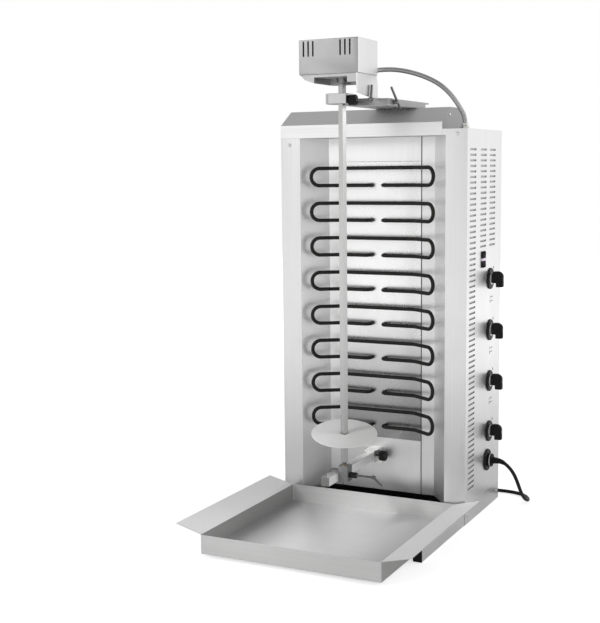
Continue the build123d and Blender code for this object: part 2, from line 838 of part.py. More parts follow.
GLAND_END = HALF_W + GLAND_FLANGE_T + GLAND_BOSS_L


def strain_relief():
    return cone(
        (GLAND_END, GLAND_Y, GLAND_Z), (GLAND_END + RELIEF_L, GLAND_Y, GLAND_Z), RELIEF_R0, RELIEF_R1
    )


CORD_REST = CORD_R + SOFT_GAP
CORD_D = 2 * CORD_R
COIL_PITCH = CORD_D + COIL_STEP
COIL_OUTER = COIL_MEAN_R + COIL_PITCH * COIL_TURNS / 4
COIL_HIGH = CORD_REST + CORD_D + COIL_STEP
COIL_EDGE = COIL_Y - COIL_OUTER

# The supply cord's route: out of the strain relief, down to the table and round behind the casing.
CORD_ROUTE = [
    (GLAND_END + RELIEF_L, GLAND_Y, GLAND_Z),
    (HALF_W + 42.0, GLAND_Y, GLAND_Z),
    (HALF_W + 55.5, 160.3, 110.7),
    (HALF_W + 66.0, 161.3, 97.5),
    (HALF_W + 72.0, 164.5, 78.0),
    (HALF_W + 76.0, 171.0, 57.0),
    (HALF_W + 79.5, 183.0, 36.5),
    (HALF_W + 82.0, 203.0, 19.0),
    (HALF_W + 82.0, 229.0, 8.5),
    (HALF_W + 76.0, 256.0, 5.0),
    (HALF_W + 61.0, 279.0, CORD_REST),
    (HALF_W + 38.0, 294.0, CORD_REST),
    (HALF_W + 8.0, 299.0, CORD_REST),
    (HALF_W - 26.0, 296.5, CORD_REST),
    (HALF_W - 60.0, 291.5, CORD_REST),
    (HALF_W - 92.0, 287.0, CORD_REST + 0.1),
    (HALF_W - 125.0, COIL_EDGE, CORD_REST),
    (COIL_X + CORD_D, COIL_EDGE, CORD_REST),
]


def coil_points():
    """Quarter-turn points of the put-away coil, which spirals in, climbs a layer and spirals out."""
    points = []
    for i in range(4 * COIL_TURNS + 1):
        turn = i / 4
        lower = turn <= COIL_TURNS / 2
        r = COIL_OUTER - COIL_PITCH * (turn if lower else COIL_TURNS - turn)
        climb = min(max(turn - COIL_TURNS / 2 + 0.25, 0), 0.5) * 2
        z = CORD_REST + (COIL_HIGH - CORD_REST) * climb
        a = -pi / 2 - 2 * pi * turn
        points.append(Vector(COIL_X + r * cos(a), COIL_Y + r * sin(a), z))
    return points


def coil_tangents(points):
    """Directions at those points: level, and square to the spiral at both ends."""
    tangents = [Vector(-1, 0, 0)]
    for before, here, after in zip(points, points[1:], points[2:]):
        along = after - before
        level = abs(here.Z - before.Z) < 0.01 or abs(after.Z - here.Z) < 0.01
        tangents.append((Vector(along.X, along.Y, 0) if level else along).normalized())
    return tangents + [Vector(-1, 0, 0)]


def tangent_arc(start, tip, end):
    """The arc from start to end whose tangents meet at tip."""
    middle = (start + end) * 0.5
    share = 1 / (1 + (middle - start).length / (tip - start).length)
    return ThreePointArc(start, tip + (middle - tip) * share, end)


def biarc(p0, t0, p1, t1):
    """Two tangent arcs from one point and direction to the next."""
    v = p1 - p0
    t = t0 + t1
    k = 2 * (1 - t0.dot(t1))
    vt = v.dot(t)
    d = (sqrt(vt * vt + k * v.dot(v)) - vt) / k
    tip0, tip1 = p0 + t0 * d, p1 - t1 * d
    joint = (tip0 + tip1) * 0.5
    return [tangent_arc(p0, tip0, joint), tangent_arc(joint, tip1, p1)]


def coil_path():
    points = coil_points()
    tangents = coil_tangents(points)
    edges = [Line(points[0] + Vector(CORD_D, 0, 0), points[0])]
    for p0, t0, p1, t1 in zip(points, tangents, points[1:], tangents[1:]):
        edges.extend(biarc(p0, t0, p1, t1))
    edges.append(Line(points[-1], points[-1] - Vector(COIL_LEAD, 0, 0)))
    return Wire([e.edge() for e in edges])


# The conduit's route, from the motor box's rear fitting to the control box's.
CONDUIT_ROUTE = [
    (CONDUIT_MOTOR_X, SPIT_Y + MOTOR_REAR + CONDUIT_GLAND_H, CONDUIT_MOTOR_Z),
    (CONDUIT_MOTOR_X, SPIT_Y + 72.0, CONDUIT_MOTOR_Z),
    (CONDUIT_MOTOR_X + 13.0, SPIT_Y + 90.0, CONDUIT_MOTOR_Z + 3.0),
    (CONDUIT_MOTOR_X + 38.0, SPIT_Y + 104.0, CONDUIT_MOTOR_Z + 3.0),
    (CONDUIT_MOTOR_X + 68.0, SPIT_Y + 117.0, CONDUIT_MOTOR_Z - 3.0),
    (CONDUIT_BOX_X - 71.0, CONDUIT_BOX_Y - 51.5, CONDUIT_MOTOR_Z - 14.5),
    (CONDUIT_BOX_X - 44.0, CONDUIT_BOX_Y - 38.0, CONDUIT_MOTOR_Z - 30.5),
    (CONDUIT_BOX_X - 23.0, CONDUIT_BOX_Y - 25.0, BODY_TOP + 73.0),
    (CONDUIT_BOX_X - 9.0, CONDUIT_BOX_Y - 13.0, BODY_TOP + 48.0),
    (CONDUIT_BOX_X, CONDUIT_BOX_Y, BODY_TOP + 26.0),
    (CONDUIT_BOX_X, CONDUIT_BOX_Y, BODY_TOP + CONDUIT_GLAND_H),
]


def hex_gland(start, end):
    """Threaded conduit fitting: a hexagon foot and a round sleeve."""
    a, b = Vector(*start), Vector(*end)
    plane = Plane(origin=a, z_dir=(b - a).normalized())
    hexagon = plane * RegularPolygon(CONDUIT_GLAND_R, 6, major_radius=False)
    foot = extrude(hexagon, amount=CONDUIT_NUT_H)
    return foot + rod(start, end, CONDUIT_GLAND_R - CONDUIT_SLEEVE)


def motor_cover():
    """Folded box over the gear motor, open below, with two groups of three vents in front."""
    y0, y1 = SPIT_Y - MOTOR_FRONT, SPIT_Y + MOTOR_REAR
    outer = box(MOTOR_X0, MOTOR_X1, y0, y1, MOTOR_BOTTOM, MOTOR_TOP)
    t = MOTOR_SHEET
    inner = box(MOTOR_X0 + t, MOTOR_X1 - t, y0 + t, y1 - t, MOTOR_BOTTOM - 1, MOTOR_TOP - t)
    cuts = []
    for middle in (MOTOR_X0 + VENT_IN_LEFT, MOTOR_X1 - VENT_IN_RIGHT):
        for k in (-1, 0, 1):
            x = middle + k * VENT_STEP
            top = MOTOR_TOP - VENT_DROP
            cuts.append(box(x - VENT_W / 2, x + VENT_W / 2, y0 - 1, y0 + 2 * t, top - VENT_L, top))
    hole_y = y1 - 2 * t
    cuts.append(
        rod((CONDUIT_MOTOR_X, hole_y, CONDUIT_MOTOR_Z), (CONDUIT_MOTOR_X, y1 + 1, CONDUIT_MOTOR_Z), CONDUIT_R)
    )
    return (outer - inner).cut(*cuts)


FLOOR_Z = MOTOR_BOTTOM - PAN_LIP_H


def motor_base():
    """Pan below the motor, sloped at its left, with an open bay in front where the socket comes down."""
    t = MOTOR_SHEET
    y0, y1 = SPIT_Y - MOTOR_FRONT + UNDER_INSET, SPIT_Y + MOTOR_REAR - UNDER_INSET
    path = [
        (BRACKET_X, MOTOR_BOTTOM),
        (BRACKET_X, UNDER_Z),
        (MOTOR_X0 + PAN_FLAT_X, UNDER_Z),
        (MOTOR_X0 + PAN_BEND_X, UNDER_Z + PAN_BEND_H),
        (MOTOR_X0, MOTOR_BOTTOM),
    ]
    shell = prism_y(folded(path[::-1], t), y0, y1)
    front = prism_y(path, y0, y0 + t)
    rear = prism_y(path, y1 - t, y1)
    floor = prism_y(path, y0, y1) & box(MOTOR_X0, BRACKET_X, y0, y1, FLOOR_Z, FLOOR_Z + t)
    bay_y = SPIT_Y + BAY_BACK
    bay_walls = box(-BAY_HALF - t, BAY_HALF + t, y0, bay_y + t, UNDER_Z, FLOOR_Z + t)
    bay = box(-BAY_HALF, BAY_HALF, y0 - 1, bay_y, UNDER_Z - 1, FLOOR_Z)
    bore = rod((0, SPIT_Y, FLOOR_Z - 1), (0, SPIT_Y, FLOOR_Z + 2 * t), SOCKET_R + 1)
    over = box(MOTOR_X0 - 1, MOTOR_X1 + 1, y0 - 1, y1 + 1, MOTOR_BOTTOM, MOTOR_BOTTOM + 5)
    return fused([shell, front, rear, floor, bay_walls]) - bay - bore - over


SOCKET_END = SOCKET_BOTTOM + SOCKET_DEPTH + SOCKET_ROOF


def gear_motor():
    """Gearbox on four pillars on the motor pan's floor, with the motor on top of it."""
    floor = FLOOR_Z + MOTOR_SHEET
    foot = SOCKET_END + 0.5
    top = foot + GEARBOX_H
    x0, x1 = -GEARBOX_W / 2, BRACKET_X - GEARBOX_GAP
    y0, y1 = SPIT_Y - GEARBOX_D / 2 + GEARBOX_CUT, SPIT_Y + GEARBOX_D / 2
    gearbox = rounded_edges(box(x0, x1, y0, y1, foot, top), Axis.Z, GEARBOX_CORNER)
    pillars = []
    for x in (PILLAR_X, x1 - 2 * PILLAR_R):
        for y in (y0 + 2 * PILLAR_R, y1 - 2 * PILLAR_R):
            pillars.append(rod((x, y, floor), (x, y, foot + 1), PILLAR_R))
    can_y = SPIT_Y + MOTOR_BODY_Y
    can = rod((MOTOR_BODY_X, can_y, top - 1), (MOTOR_BODY_X, can_y, top + MOTOR_BODY_H), MOTOR_BODY_R)
    bore = rod((0, SPIT_Y, foot - 1), (0, SPIT_Y, foot + SHAFT_L), SHAFT_R + FIT)
    return fused([gearbox, can] + pillars) - bore


def turned_bar(size, z0, z1, turn):
    """A square bar on the spit's axis, turned about it."""
    bar = Pos(0, SPIT_Y, (z0 + z1) / 2) * Rot(0, 0, turn) * Box(size, size, z1 - z0)
    return bar


def output_socket():
    """Driven socket under the gearbox: a square well, and a round shaft above it."""
    sleeve = rod((0, SPIT_Y, SOCKET_BOTTOM), (0, SPIT_Y, SOCKET_END), SOCKET_R)
    shaft = rod((0, SPIT_Y, SOCKET_END - 1), (0, SPIT_Y, SOCKET_END + SHAFT_L - 2), SHAFT_R)
    well = turned_bar(BAR + 2 * SLIDE_GAP, SOCKET_BOTTOM - 1, SOCKET_BOTTOM + SOCKET_DEPTH, SPIT_TURN)
    return sleeve + shaft - well


CARRIAGE_Z = HOOD_TOP + SEAT_GAP
CARRIAGE_TOP = CARRIAGE_Z + CARRIAGE_H
LEVER_Z = CARRIAGE_Z + CARRIAGE_H / 2


def carriage():
    """Inverted channel with inturned lips that slides fore and aft along its bar."""
    y0, y1 = -CARRIAGE_FRONT, CARRIAGE_BACK
    w = CARRIAGE_WALL
    outer = box(CARRIAGE_X0, CARRIAGE_X1, y0, y1, CARRIAGE_Z, CARRIAGE_TOP)
    inside = box(CARRIAGE_X0 + w, CARRIAGE_X1 - w, y0 + w, y1 + 1, CARRIAGE_Z + LIP_T, CARRIAGE_TOP - w)
    slot = box(
        CARRIAGE_X0 + w + LIP_W, CARRIAGE_X1 - w - LIP_W, y0 + w, y1 + 1, CARRIAGE_Z - 1, CARRIAGE_TOP - w
    )
    side = CARRIAGE_X1 - 2 * w
    screw = rod((side, LEVER_Y, LEVER_Z), (CARRIAGE_X1 + 1, LEVER_Y, LEVER_Z), LEVER_STEM_R + SOFT_GAP)
    window = box(side, CARRIAGE_X1 + 1, y1 - WINDOW_L, y1 + 1, CARRIAGE_Z + LIP_T, CARRIAGE_TOP - w)
    return outer - inside - slot - screw - window


def slide_bar():
    """T-shaped bar fixed on the hood, which the carriage runs along and is clamped to."""
    g = SEAT_GAP
    x0, x1 = CARRIAGE_X0 + CARRIAGE_WALL, CARRIAGE_X1 - CARRIAGE_WALL
    y0 = -CARRIAGE_FRONT + CARRIAGE_WALL + BAR_STOP
    head_z = CARRIAGE_Z + LIP_T + g
    head = box(x0 + g, x1 - g, y0, SLIDE_BAR_BACK, head_z, CARRIAGE_TOP - CARRIAGE_WALL - g)
    foot = box(x0 + LIP_W + g, x1 - LIP_W - g, y0, SLIDE_BAR_BACK, HOOD_TOP, head_z)
    return head + foot


def motor_bracket():
    """Side plate that carries the motor unit, with a foot on the carriage."""
    y0, y1 = SPIT_Y - MOTOR_FRONT, SPIT_Y + MOTOR_REAR
    z = CARRIAGE_TOP
    plate = prism_x(
        [
            (y0, MOTOR_BOTTOM),
            (y0, z + BRACKET_CUT),
            (-CARRIAGE_FRONT - BRACKET_CUT_L, z),
            (y1 + BRACKET_BEHIND, z),
            (y1 + BRACKET_BEHIND, UNDER_Z),
            (y1, MOTOR_BOTTOM),
        ],
        BRACKET_X,
        BRACKET_X + BRACKET_T,
    )
    foot = box(
        BRACKET_X - BRACKET_FOOT,
        BRACKET_X + BRACKET_T,
        -CARRIAGE_FRONT,
        -CARRIAGE_FRONT + BRACKET_FOOT_L,
        z,
        z + BRACKET_FOOT_T,
    )
    return plate + foot


def skewer_holder():
    """Block in front of the carriage that keeps the top of the spit upright."""
    z0 = CARRIAGE_Z + HOLDER_LIFT
    y0, y1 = SPIT_Y - HOLDER_REACH, -CARRIAGE_FRONT
    block = box(HOLDER_X0, HOLDER_X1, y0, y1, z0, z0 + HOLDER_H)
    left = block.edges().filter_by(Axis.Z).group_by(Axis.X)[0]
    block = fillet(left, HOLDER_ROUND)
    hole = rod((0, SPIT_Y, z0 - 1), (0, SPIT_Y, z0 + HOLDER_H + 1), HOLDER_HOLE_R)
    return block - hole


def clamp_hub(x, y, z, length, radius, flutes):
    """Black fluted hub of a clamp screw, lying along X."""
    hub = rod((x, y, z), (x + length, y, z), radius)
    hub = fillet(hub.edges().filter_by(GeomType.CIRCLE), HUB_ROUND)
    cuts = [rod((x - 1, y, z), (x + length + 1, y, z), STEM_R + FIT)]
    for k in range(flutes):
        a = 2 * pi * k / flutes
        v, w = y + radius * cos(a), z + radius * sin(a)
        cuts.append(rod((x + FLUTE_END, v, w), (x + length - FLUTE_END, v, w), FLUTE_R))
    return hub.cut(*cuts)


def clamp_screw(x, y, z, end, ends):
    """Thin screw along X whose head holds a cross rod, given by its ends as offsets (y, z)."""
    low, high = ends
    stem = rod((x, y, z), (end + 1, y, z), STEM_R)
    head = rod((end - HEAD_L, y, z), (end + HEAD_L, y, z), HEAD_R)
    bar = rod((end, y + low[0], z + low[1]), (end, y + high[0], z + high[1]), ROD_R)
    return fused([stem, head, bar])


HOLDER_CLAMP_Z = CARRIAGE_Z + HOLDER_LIFT + HOLDER_CLAMP_H


def holder_clamp():
    """Clamp of the spit's upper holder: its black hub and the screw with its cross rod."""
    x = HOLDER_X1 + SEAT_GAP
    hub = clamp_hub(x, SPIT_Y, HOLDER_CLAMP_Z, HOLDER_HUB_L, HOLDER_HUB_R, HOLDER_FLUTES)
    end = BRACKET_X + BRACKET_T + SEAT_GAP + HEAD_L
    screw = clamp_screw(x, SPIT_Y, HOLDER_CLAMP_Z, end, HOLDER_ROD)
    return [hub, screw]


def carriage_lever():
    """Clamp screw in the carriage's right side, with a long rod through its head."""
    x = CARRIAGE_X1 - CARRIAGE_WALL
    head_end = CARRIAGE_X1 + LEVER_HEAD_L
    stem = rod((x, LEVER_Y, LEVER_Z), (head_end, LEVER_Y, LEVER_Z), LEVER_STEM_R)
    head = rod((CARRIAGE_X1 + SEAT_GAP, LEVER_Y, LEVER_Z), (head_end, LEVER_Y, LEVER_Z), HEAD_R)
    rod_x = head_end - ROD_R
    low, high = [(rod_x, LEVER_Y + y, LEVER_Z + z) for y, z in LEVER_ROD]
    bar = rod(low, high, ROD_R)
    return fused([stem, head, bar])


def skewer():
    """Square spit bar with a pivot turned on its lower end."""
    bar = turned_bar(BAR, SPIT_BOTTOM, SPIT_TOP, SPIT_TURN)
    shoulder = cone((0, SPIT_Y, SPIT_BOTTOM - 5), (0, SPIT_Y, SPIT_BOTTOM), PIVOT_R, BAR / 2 - 0.2)
    pivot = rod((0, SPIT_Y, SPIT_BOTTOM - PIVOT_L), (0, SPIT_Y, SPIT_BOTTOM - 4), PIVOT_R)
    pivot = fillet(pivot.edges().group_by(Axis.Z)[0], 1.5)
    return fused([bar, shoulder, pivot])


TILT = radians(DISC_TILT)
LOW_X, LOW_Y = sin(radians(DISC_TILT_AZ)), -cos(radians(DISC_TILT_AZ))
ROCK_R = COLLAR_R - 0.5
COLLAR_TOP = DISC_Z - DISC_T / 2 - ROCK_R * sin(TILT) - SEAT_GAP


def disc_collar():
    """Collar that carries the disc and slides on the spit."""
    z0, z1 = COLLAR_TOP - COLLAR_H, COLLAR_TOP
    collar = rod((0, SPIT_Y, z0), (0, SPIT_Y, z1), COLLAR_R)
    hole = turned_bar(BAR + 2 * SLIDE_GAP, z0 - 1, z1 + 1, SPIT_TURN)
    collar = collar - hole
    middle = (z0 + z1) / 2
    side = radians(SPIT_TURN)
    reach = BAR / 2 + 1
    tip = (reach * cos(side), SPIT_Y + reach * sin(side), middle)
    out, inward = COLLAR_R + COLLAR_SCREW_L, COLLAR_R + COLLAR_SCREW_L - COLLAR_HEAD_L
    end = (out * cos(side), SPIT_Y + out * sin(side), middle)
    neck = (inward * cos(side), SPIT_Y + inward * sin(side), middle)
    return fused([collar, rod(tip, end, COLLAR_SCREW_R), rod(neck, end, HEAD_R)])


def meat_disc():
    """Round plate that sits loosely on its collar and hangs askew on the bare spit."""
    pivot = (LOW_X * ROCK_R, SPIT_Y + LOW_Y * ROCK_R, COLLAR_TOP)
    level = Pos(0, SPIT_Y, COLLAR_TOP + SEAT_GAP + DISC_T / 2)
    plate = level * Cylinder(DISC_R, DISC_T)
    plate = fillet(plate.edges().filter_by(GeomType.CIRCLE), DISC_T * 0.4)
    hole = level * Rot(0, 0, SPIT_TURN) * Box(DISC_HOLE, DISC_HOLE, 3 * DISC_T)
    plate = plate - hole
    axis = Axis(pivot, (-LOW_Y, LOW_X, 0))
    return plate.rotate(axis, DISC_TILT)


ARM_LEFT = ARM_RIGHT - ARM_SIZE
ARM_BOTTOM = ARM_TOP - ARM_SIZE
ARM_MID_X = ARM_RIGHT - ARM_SIZE / 2
ARM_MID_Z = ARM_TOP - ARM_SIZE / 2
PANEL_FACE = WALL_Y - PANEL_T


def lower_arm():
    """Square tube from the chamber wall to the spit's lower bearing, with a stop pin near its end."""
    outer = box(ARM_LEFT, ARM_RIGHT, -ARM_FRONT, PANEL_FACE, ARM_BOTTOM, ARM_TOP)
    outer = rounded_edges(outer, Axis.Y, ARM_ROUND)
    w = ARM_WALL
    inner = box(
        ARM_LEFT + w, ARM_RIGHT - w, -ARM_FRONT + w, PANEL_FACE + 1, ARM_BOTTOM + w, ARM_TOP - w
    )
    y = -ARM_FRONT + STOP_IN
    hole = rod((ARM_MID_X, y, ARM_TOP - 2 * w), (ARM_MID_X, y, ARM_TOP + 1), STOP_R)
    stop = rod((ARM_MID_X, y, ARM_TOP - w), (ARM_MID_X, y, ARM_TOP + STOP_H), STOP_R)
    return [outer - inner - hole, stop]


def arm_mount():
    """Socket on the chamber wall that holds the arm."""
    w = MOUNT_WALL
    y0 = PANEL_FACE - MOUNT_L
    block = box(ARM_LEFT - w, ARM_RIGHT + w, y0, PANEL_FACE, ARM_BOTTOM - w, ARM_TOP + w)
    plate = box(
        ARM_LEFT - FLANGE_W,
        ARM_RIGHT + FLANGE_W,
        PANEL_FACE - FLANGE_T,
        PANEL_FACE,
        ARM_BOTTOM - FLANGE_H,
        ARM_TOP + FLANGE_H,
    )
    g = FIT
    hole = box(ARM_LEFT - g, ARM_RIGHT + g, y0 - 1, PANEL_FACE + 1, ARM_BOTTOM - g, ARM_TOP + g)
    y, z = y0 + ARM_SCREW_IN, ARM_MID_Z + ARM_SCREW_UP
    screw = rod((ARM_RIGHT, y, z), (ARM_RIGHT + w + 1, y, z), STEM_R + FIT)
    return block + plate - hole - screw


def arm_knob():
    """Black clamp knob on the right of the arm's socket."""
    y, z = PANEL_FACE - MOUNT_L + ARM_SCREW_IN, ARM_MID_Z + ARM_SCREW_UP
    cap_x = ARM_RIGHT + MOUNT_WALL + SEAT_GAP + ARM_KNOB_OUT
    stem = rod((ARM_RIGHT + SEAT_GAP, y, z), (cap_x + ARM_STEM_IN, y, z), STEM_R)
    cap = rod((cap_x, y, z), (cap_x + ARM_KNOB_L, y, z), ARM_KNOB_R)
    cap = fillet(cap.edges().filter_by(GeomType.CIRCLE), ARM_KNOB_ROUND)
    return stem + cap


BLOCK_Y0 = SPIT_Y - BLOCK_L / 2
BLOCK_Y1 = SPIT_Y + BLOCK_L / 2
BLOCK_RIGHT = ARM_RIGHT + SEAT_GAP + BLOCK_W


def bearing_block():
    """Sleeve on the arm with the boss for the spit's lower bearing on its right."""
    w, g = BLOCK_WALL, SEAT_GAP
    sleeve = box(
        ARM_LEFT - g - w, ARM_RIGHT + g + w, BLOCK_Y0, BLOCK_Y1, ARM_BOTTOM - g - w, ARM_TOP + g + w
    )
    boss = box(ARM_RIGHT + g, BLOCK_RIGHT, BLOCK_Y0, BLOCK_Y1, ARM_BOTTOM, BLOCK_TOP)
    hole = box(ARM_LEFT - g, ARM_RIGHT + g, BLOCK_Y0 - 1, BLOCK_Y1 + 1, ARM_BOTTOM - g, ARM_TOP + g)
    seat = rod((0, SPIT_Y, BLOCK_TOP - BUSH_H), (0, SPIT_Y, BLOCK_TOP + 1), BUSH_R)
    z = BLOCK_CLAMP_Z
    screw = rod((ARM_RIGHT, SPIT_Y, z), (BLOCK_RIGHT + 1, SPIT_Y, z), STEM_R + SOFT_GAP)
    return sleeve + boss - hole - seat - screw


BLOCK_CLAMP_Z = ARM_MID_Z + BLOCK_CLAMP_H


def bearing_bush():
    """Bush that the spit's pivot turns in."""
    z0 = BLOCK_TOP - BUSH_H
    bush = rod((0, SPIT_Y, z0), (0, SPIT_Y, BLOCK_TOP + 1), BUSH_R)
    well_z = SPIT_BOTTOM - PIVOT_L - SEAT_GAP
    well = rod((0, SPIT_Y, well_z), (0, SPIT_Y, BLOCK_TOP + 2), PIVOT_R + FIT)
    return bush - well


def block_clamp():
    """Clamp of the bearing block: its black hub and the screw with its cross rod."""
    x = BLOCK_RIGHT + SEAT_GAP
    hub = clamp_hub(x, SPIT_Y, BLOCK_CLAMP_Z, BLOCK_HUB_L, BLOCK_HUB_R, BLOCK_FLUTES)
    screw = clamp_screw(ARM_RIGHT + 2 * SEAT_GAP, SPIT_Y, BLOCK_CLAMP_Z, BLOCK_ROD_X, BLOCK_ROD)
    return [hub, screw]


def screw_head(point, normal):
    """Domed screw head that lies on a sheet."""
    tip = tuple(p + n * SCREW_H for p, n in zip(point, normal))
    return cone(point, tip, SCREW_R, 0.7 * SCREW_R)


def casing_screws():
    """Heads of the screws that hold the casing sheets."""
    heads = []
    edge = SCREW_EDGE
    for z in (BODY_BOTTOM + edge, (BODY_BOTTOM + BODY_TOP) / 2, BODY_TOP - edge):
        for x in (-HALF_W + edge, 0, HALF_W - edge):
            heads.append(screw_head((x, BODY_D, z), (0, 1, 0)))
    for y in (2 * edge, BODY_D - 2 * edge):
        for z in (BODY_BOTTOM + 2 * edge, HEADER_BOTTOM - 2 * edge):
            heads.append(screw_head((-HALF_W, y, z), (-1, 0, 0)))
    hood_z = (HOOD_FOLD + HOOD_TOP) / 2
    heads.append(screw_head((HOOD_RIGHT, HOOD_SLOPE_D - SCREW_FROM_BEND, hood_z), (1, 0, 0)))
    heads.append(screw_head((-HALF_W, HOOD_SLOPE_D - SCREW_FROM_BEND, hood_z), (-1, 0, 0)))
    column_x = HALF_W - COLUMN_W / 2 + SCREW_OFF_MIDDLE
    heads.append(screw_head((column_x, 0, BODY_TOP - SCREW_UNDER_TOP), (0, -1, 0)))
    heads.append(screw_head((-column_x, 0, HEADER_BOTTOM - edge), (0, -1, 0)))
    for side in (-1, 1):
        for y in (edge, BODY_D - edge):
            heads.append(screw_head((side * HALF_W, y, RAIL_H - SCREW_R - 1), (side, 0, 0)))
    return heads


def power_plug():
    """Moulded plug with two round pins, lying on the table at the coil's end."""
    x = COIL_X - COIL_LEAD
    y, z = COIL_EDGE, COIL_HIGH
    neck = cone((x, y, z), (x - PLUG_NECK, y, z), PLUG_NECK_R0, PLUG_NECK_R1)
    x0 = x - PLUG_NECK + 1
    half_h = z - SOFT_GAP
    body = box(x0 - PLUG_L, x0, y - PLUG_W / 2, y + PLUG_W / 2, z - half_h, z + half_h)
    body = rounded_edges(body, Axis.X, PLUG_CORNER)
    pins = []
    for side in (-1, 1):
        pin_y = y + side * PIN_PITCH / 2
        pins.append(rod((x0 - PLUG_L + 2, pin_y, z), (x0 - PLUG_L - PIN_L, pin_y, z), PIN_R))
    return fused([neck, body] + pins)


def save(name, shape):
    """Writes one node, a solid or a group of separate solids."""
    if isinstance(shape, (list, tuple)):
        solids = []
        for piece in shape:
            solids.extend(piece.solids())
        shape = Compound(children=solids)
    export_step(shape, f"parts/{name}.step")
    print(name, len(shape.solids()), round(shape.volume, 1))


def report_tube(name, solid, path, radius, radii):
    expected = pi * radius * radius * path.length
    smallest = min(radii)
    print(f"{name}: length {path.length:.0f}, smallest radius {smallest:.1f}")
    print(f"{name}: volume over section times length {solid.volume / expected:.5f}")


def save_route(name, points, radius):
    """A tube along a hand-laid route, with its smallest radius and its volume printed."""
    radii = corner_radii(points)
    tube, path = tube_along(points, radii, radius)
    report_tube(name, tube, path, radius, radii)
    save(name, tube)


def save_coil():
    """The coil as one unbroken tube, with its least gap to itself printed."""
    path = coil_path()
    start = path.position_at(0)
    section = Plane(origin=start, z_dir=path.tangent_at(0)) * Circle(CORD_R)
    tube = sweep(section, path=path)
    report_tube("cord_coil", tube, path, CORD_R, [COIL_OUTER - COIL_PITCH * COIL_TURNS / 2])
    count = ceil(path.length / 2)
    samples = [path.position_at(i / count) for i in range(count + 1)]
    apart = ceil(4 * CORD_D / 2)
    gap = min(
        (samples[i] - samples[j]).length
        for i in range(len(samples))
        for j in range(i + apart, len(samples))
    )
    print(f"cord_coil: least gap to itself {gap - CORD_D:.2f}")
    save("cord_coil", tube)


def main():
    os.makedirs("parts", exist_ok=True)
    save("left_casing", left_casing())
    save("control_cover", control_cover())
    save("inner_partition", inner_partition())
    save("back_panel", back_panel())
    save("floor_plate", floor_plate())
    save("hood", hood())
    save("chamber_lining", chamber_lining())
    save("chamber_panels", chamber_panels())
    save("reflector_plate", reflector())
    for k in range(ELEMENTS):
        save(f"heating_element_{k + 1}", [heating_element(k)] + element_beads(k))
    save("element_nuts", element_nuts())
    right_rail, right_channel, right_runner = rail(), base_channel(), runner()
    save("base_rails", [right_rail, mirrored(right_rail)])
    save("rail_caps", [rail_cap(), mirrored(rail_cap())])
    save("base_channels", [right_channel, mirrored(right_channel)])
    save("base_crossbars", crossbars())
    save("tray_runners", [right_runner, mirrored(right_runner)])
    save("drip_tray", drip_tray())
    save("switch_bodies", switch_bodies())
    for k, z in enumerate(knob_heights()):
        save(f"knob_{k + 1}", [knob(z), spindle(z)])
    save("rocker_frame", rocker_frame())
    save("rocker_button", rocker_button())
    save("terminal_block", terminal_block())
    save("cable_gland", cable_gland())
    save("strain_relief", strain_relief())
    save_route("power_cord", CORD_ROUTE, CORD_R)
    save_coil()
    save("power_plug", power_plug())
    save_route("conduit", CONDUIT_ROUTE, CONDUIT_R)
    motor_wall = (CONDUIT_MOTOR_X, SPIT_Y + MOTOR_REAR, CONDUIT_MOTOR_Z)
    save("conduit_fitting_motor", hex_gland(motor_wall, CONDUIT_ROUTE[0]))
    box_wall = (CONDUIT_BOX_X, CONDUIT_BOX_Y, BODY_TOP)
    save("conduit_fitting_box", hex_gland(box_wall, CONDUIT_ROUTE[-1]))
    save("motor_cover", motor_cover())
    save("motor_base", motor_base())
    save("gear_motor", gear_motor())
    save("output_socket", output_socket())
    save("carriage", carriage())
    save("slide_bar", slide_bar())
    save("motor_bracket", motor_bracket())
    save("skewer_holder", skewer_holder())
    save("holder_clamp", holder_clamp())
    save("carriage_lever", carriage_lever())
    save("skewer", skewer())
    save("disc_collar", disc_collar())
    save("meat_disc", meat_disc())
    save("lower_arm", lower_arm())
    save("arm_mount", arm_mount())
    save("arm_knob", arm_knob())
    save("bearing_block", bearing_block())
    save("bearing_bush", bearing_bush())
    save("block_clamp", block_clamp())
    save("casing_screws", casing_screws())


main()
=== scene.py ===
import json
from math import cos, pi, radians, sin

import bmesh
import bpy
from bpy.props import FloatProperty, FloatVectorProperty, IntProperty, PointerProperty
from mathutils import Matrix, Quaternion, Vector

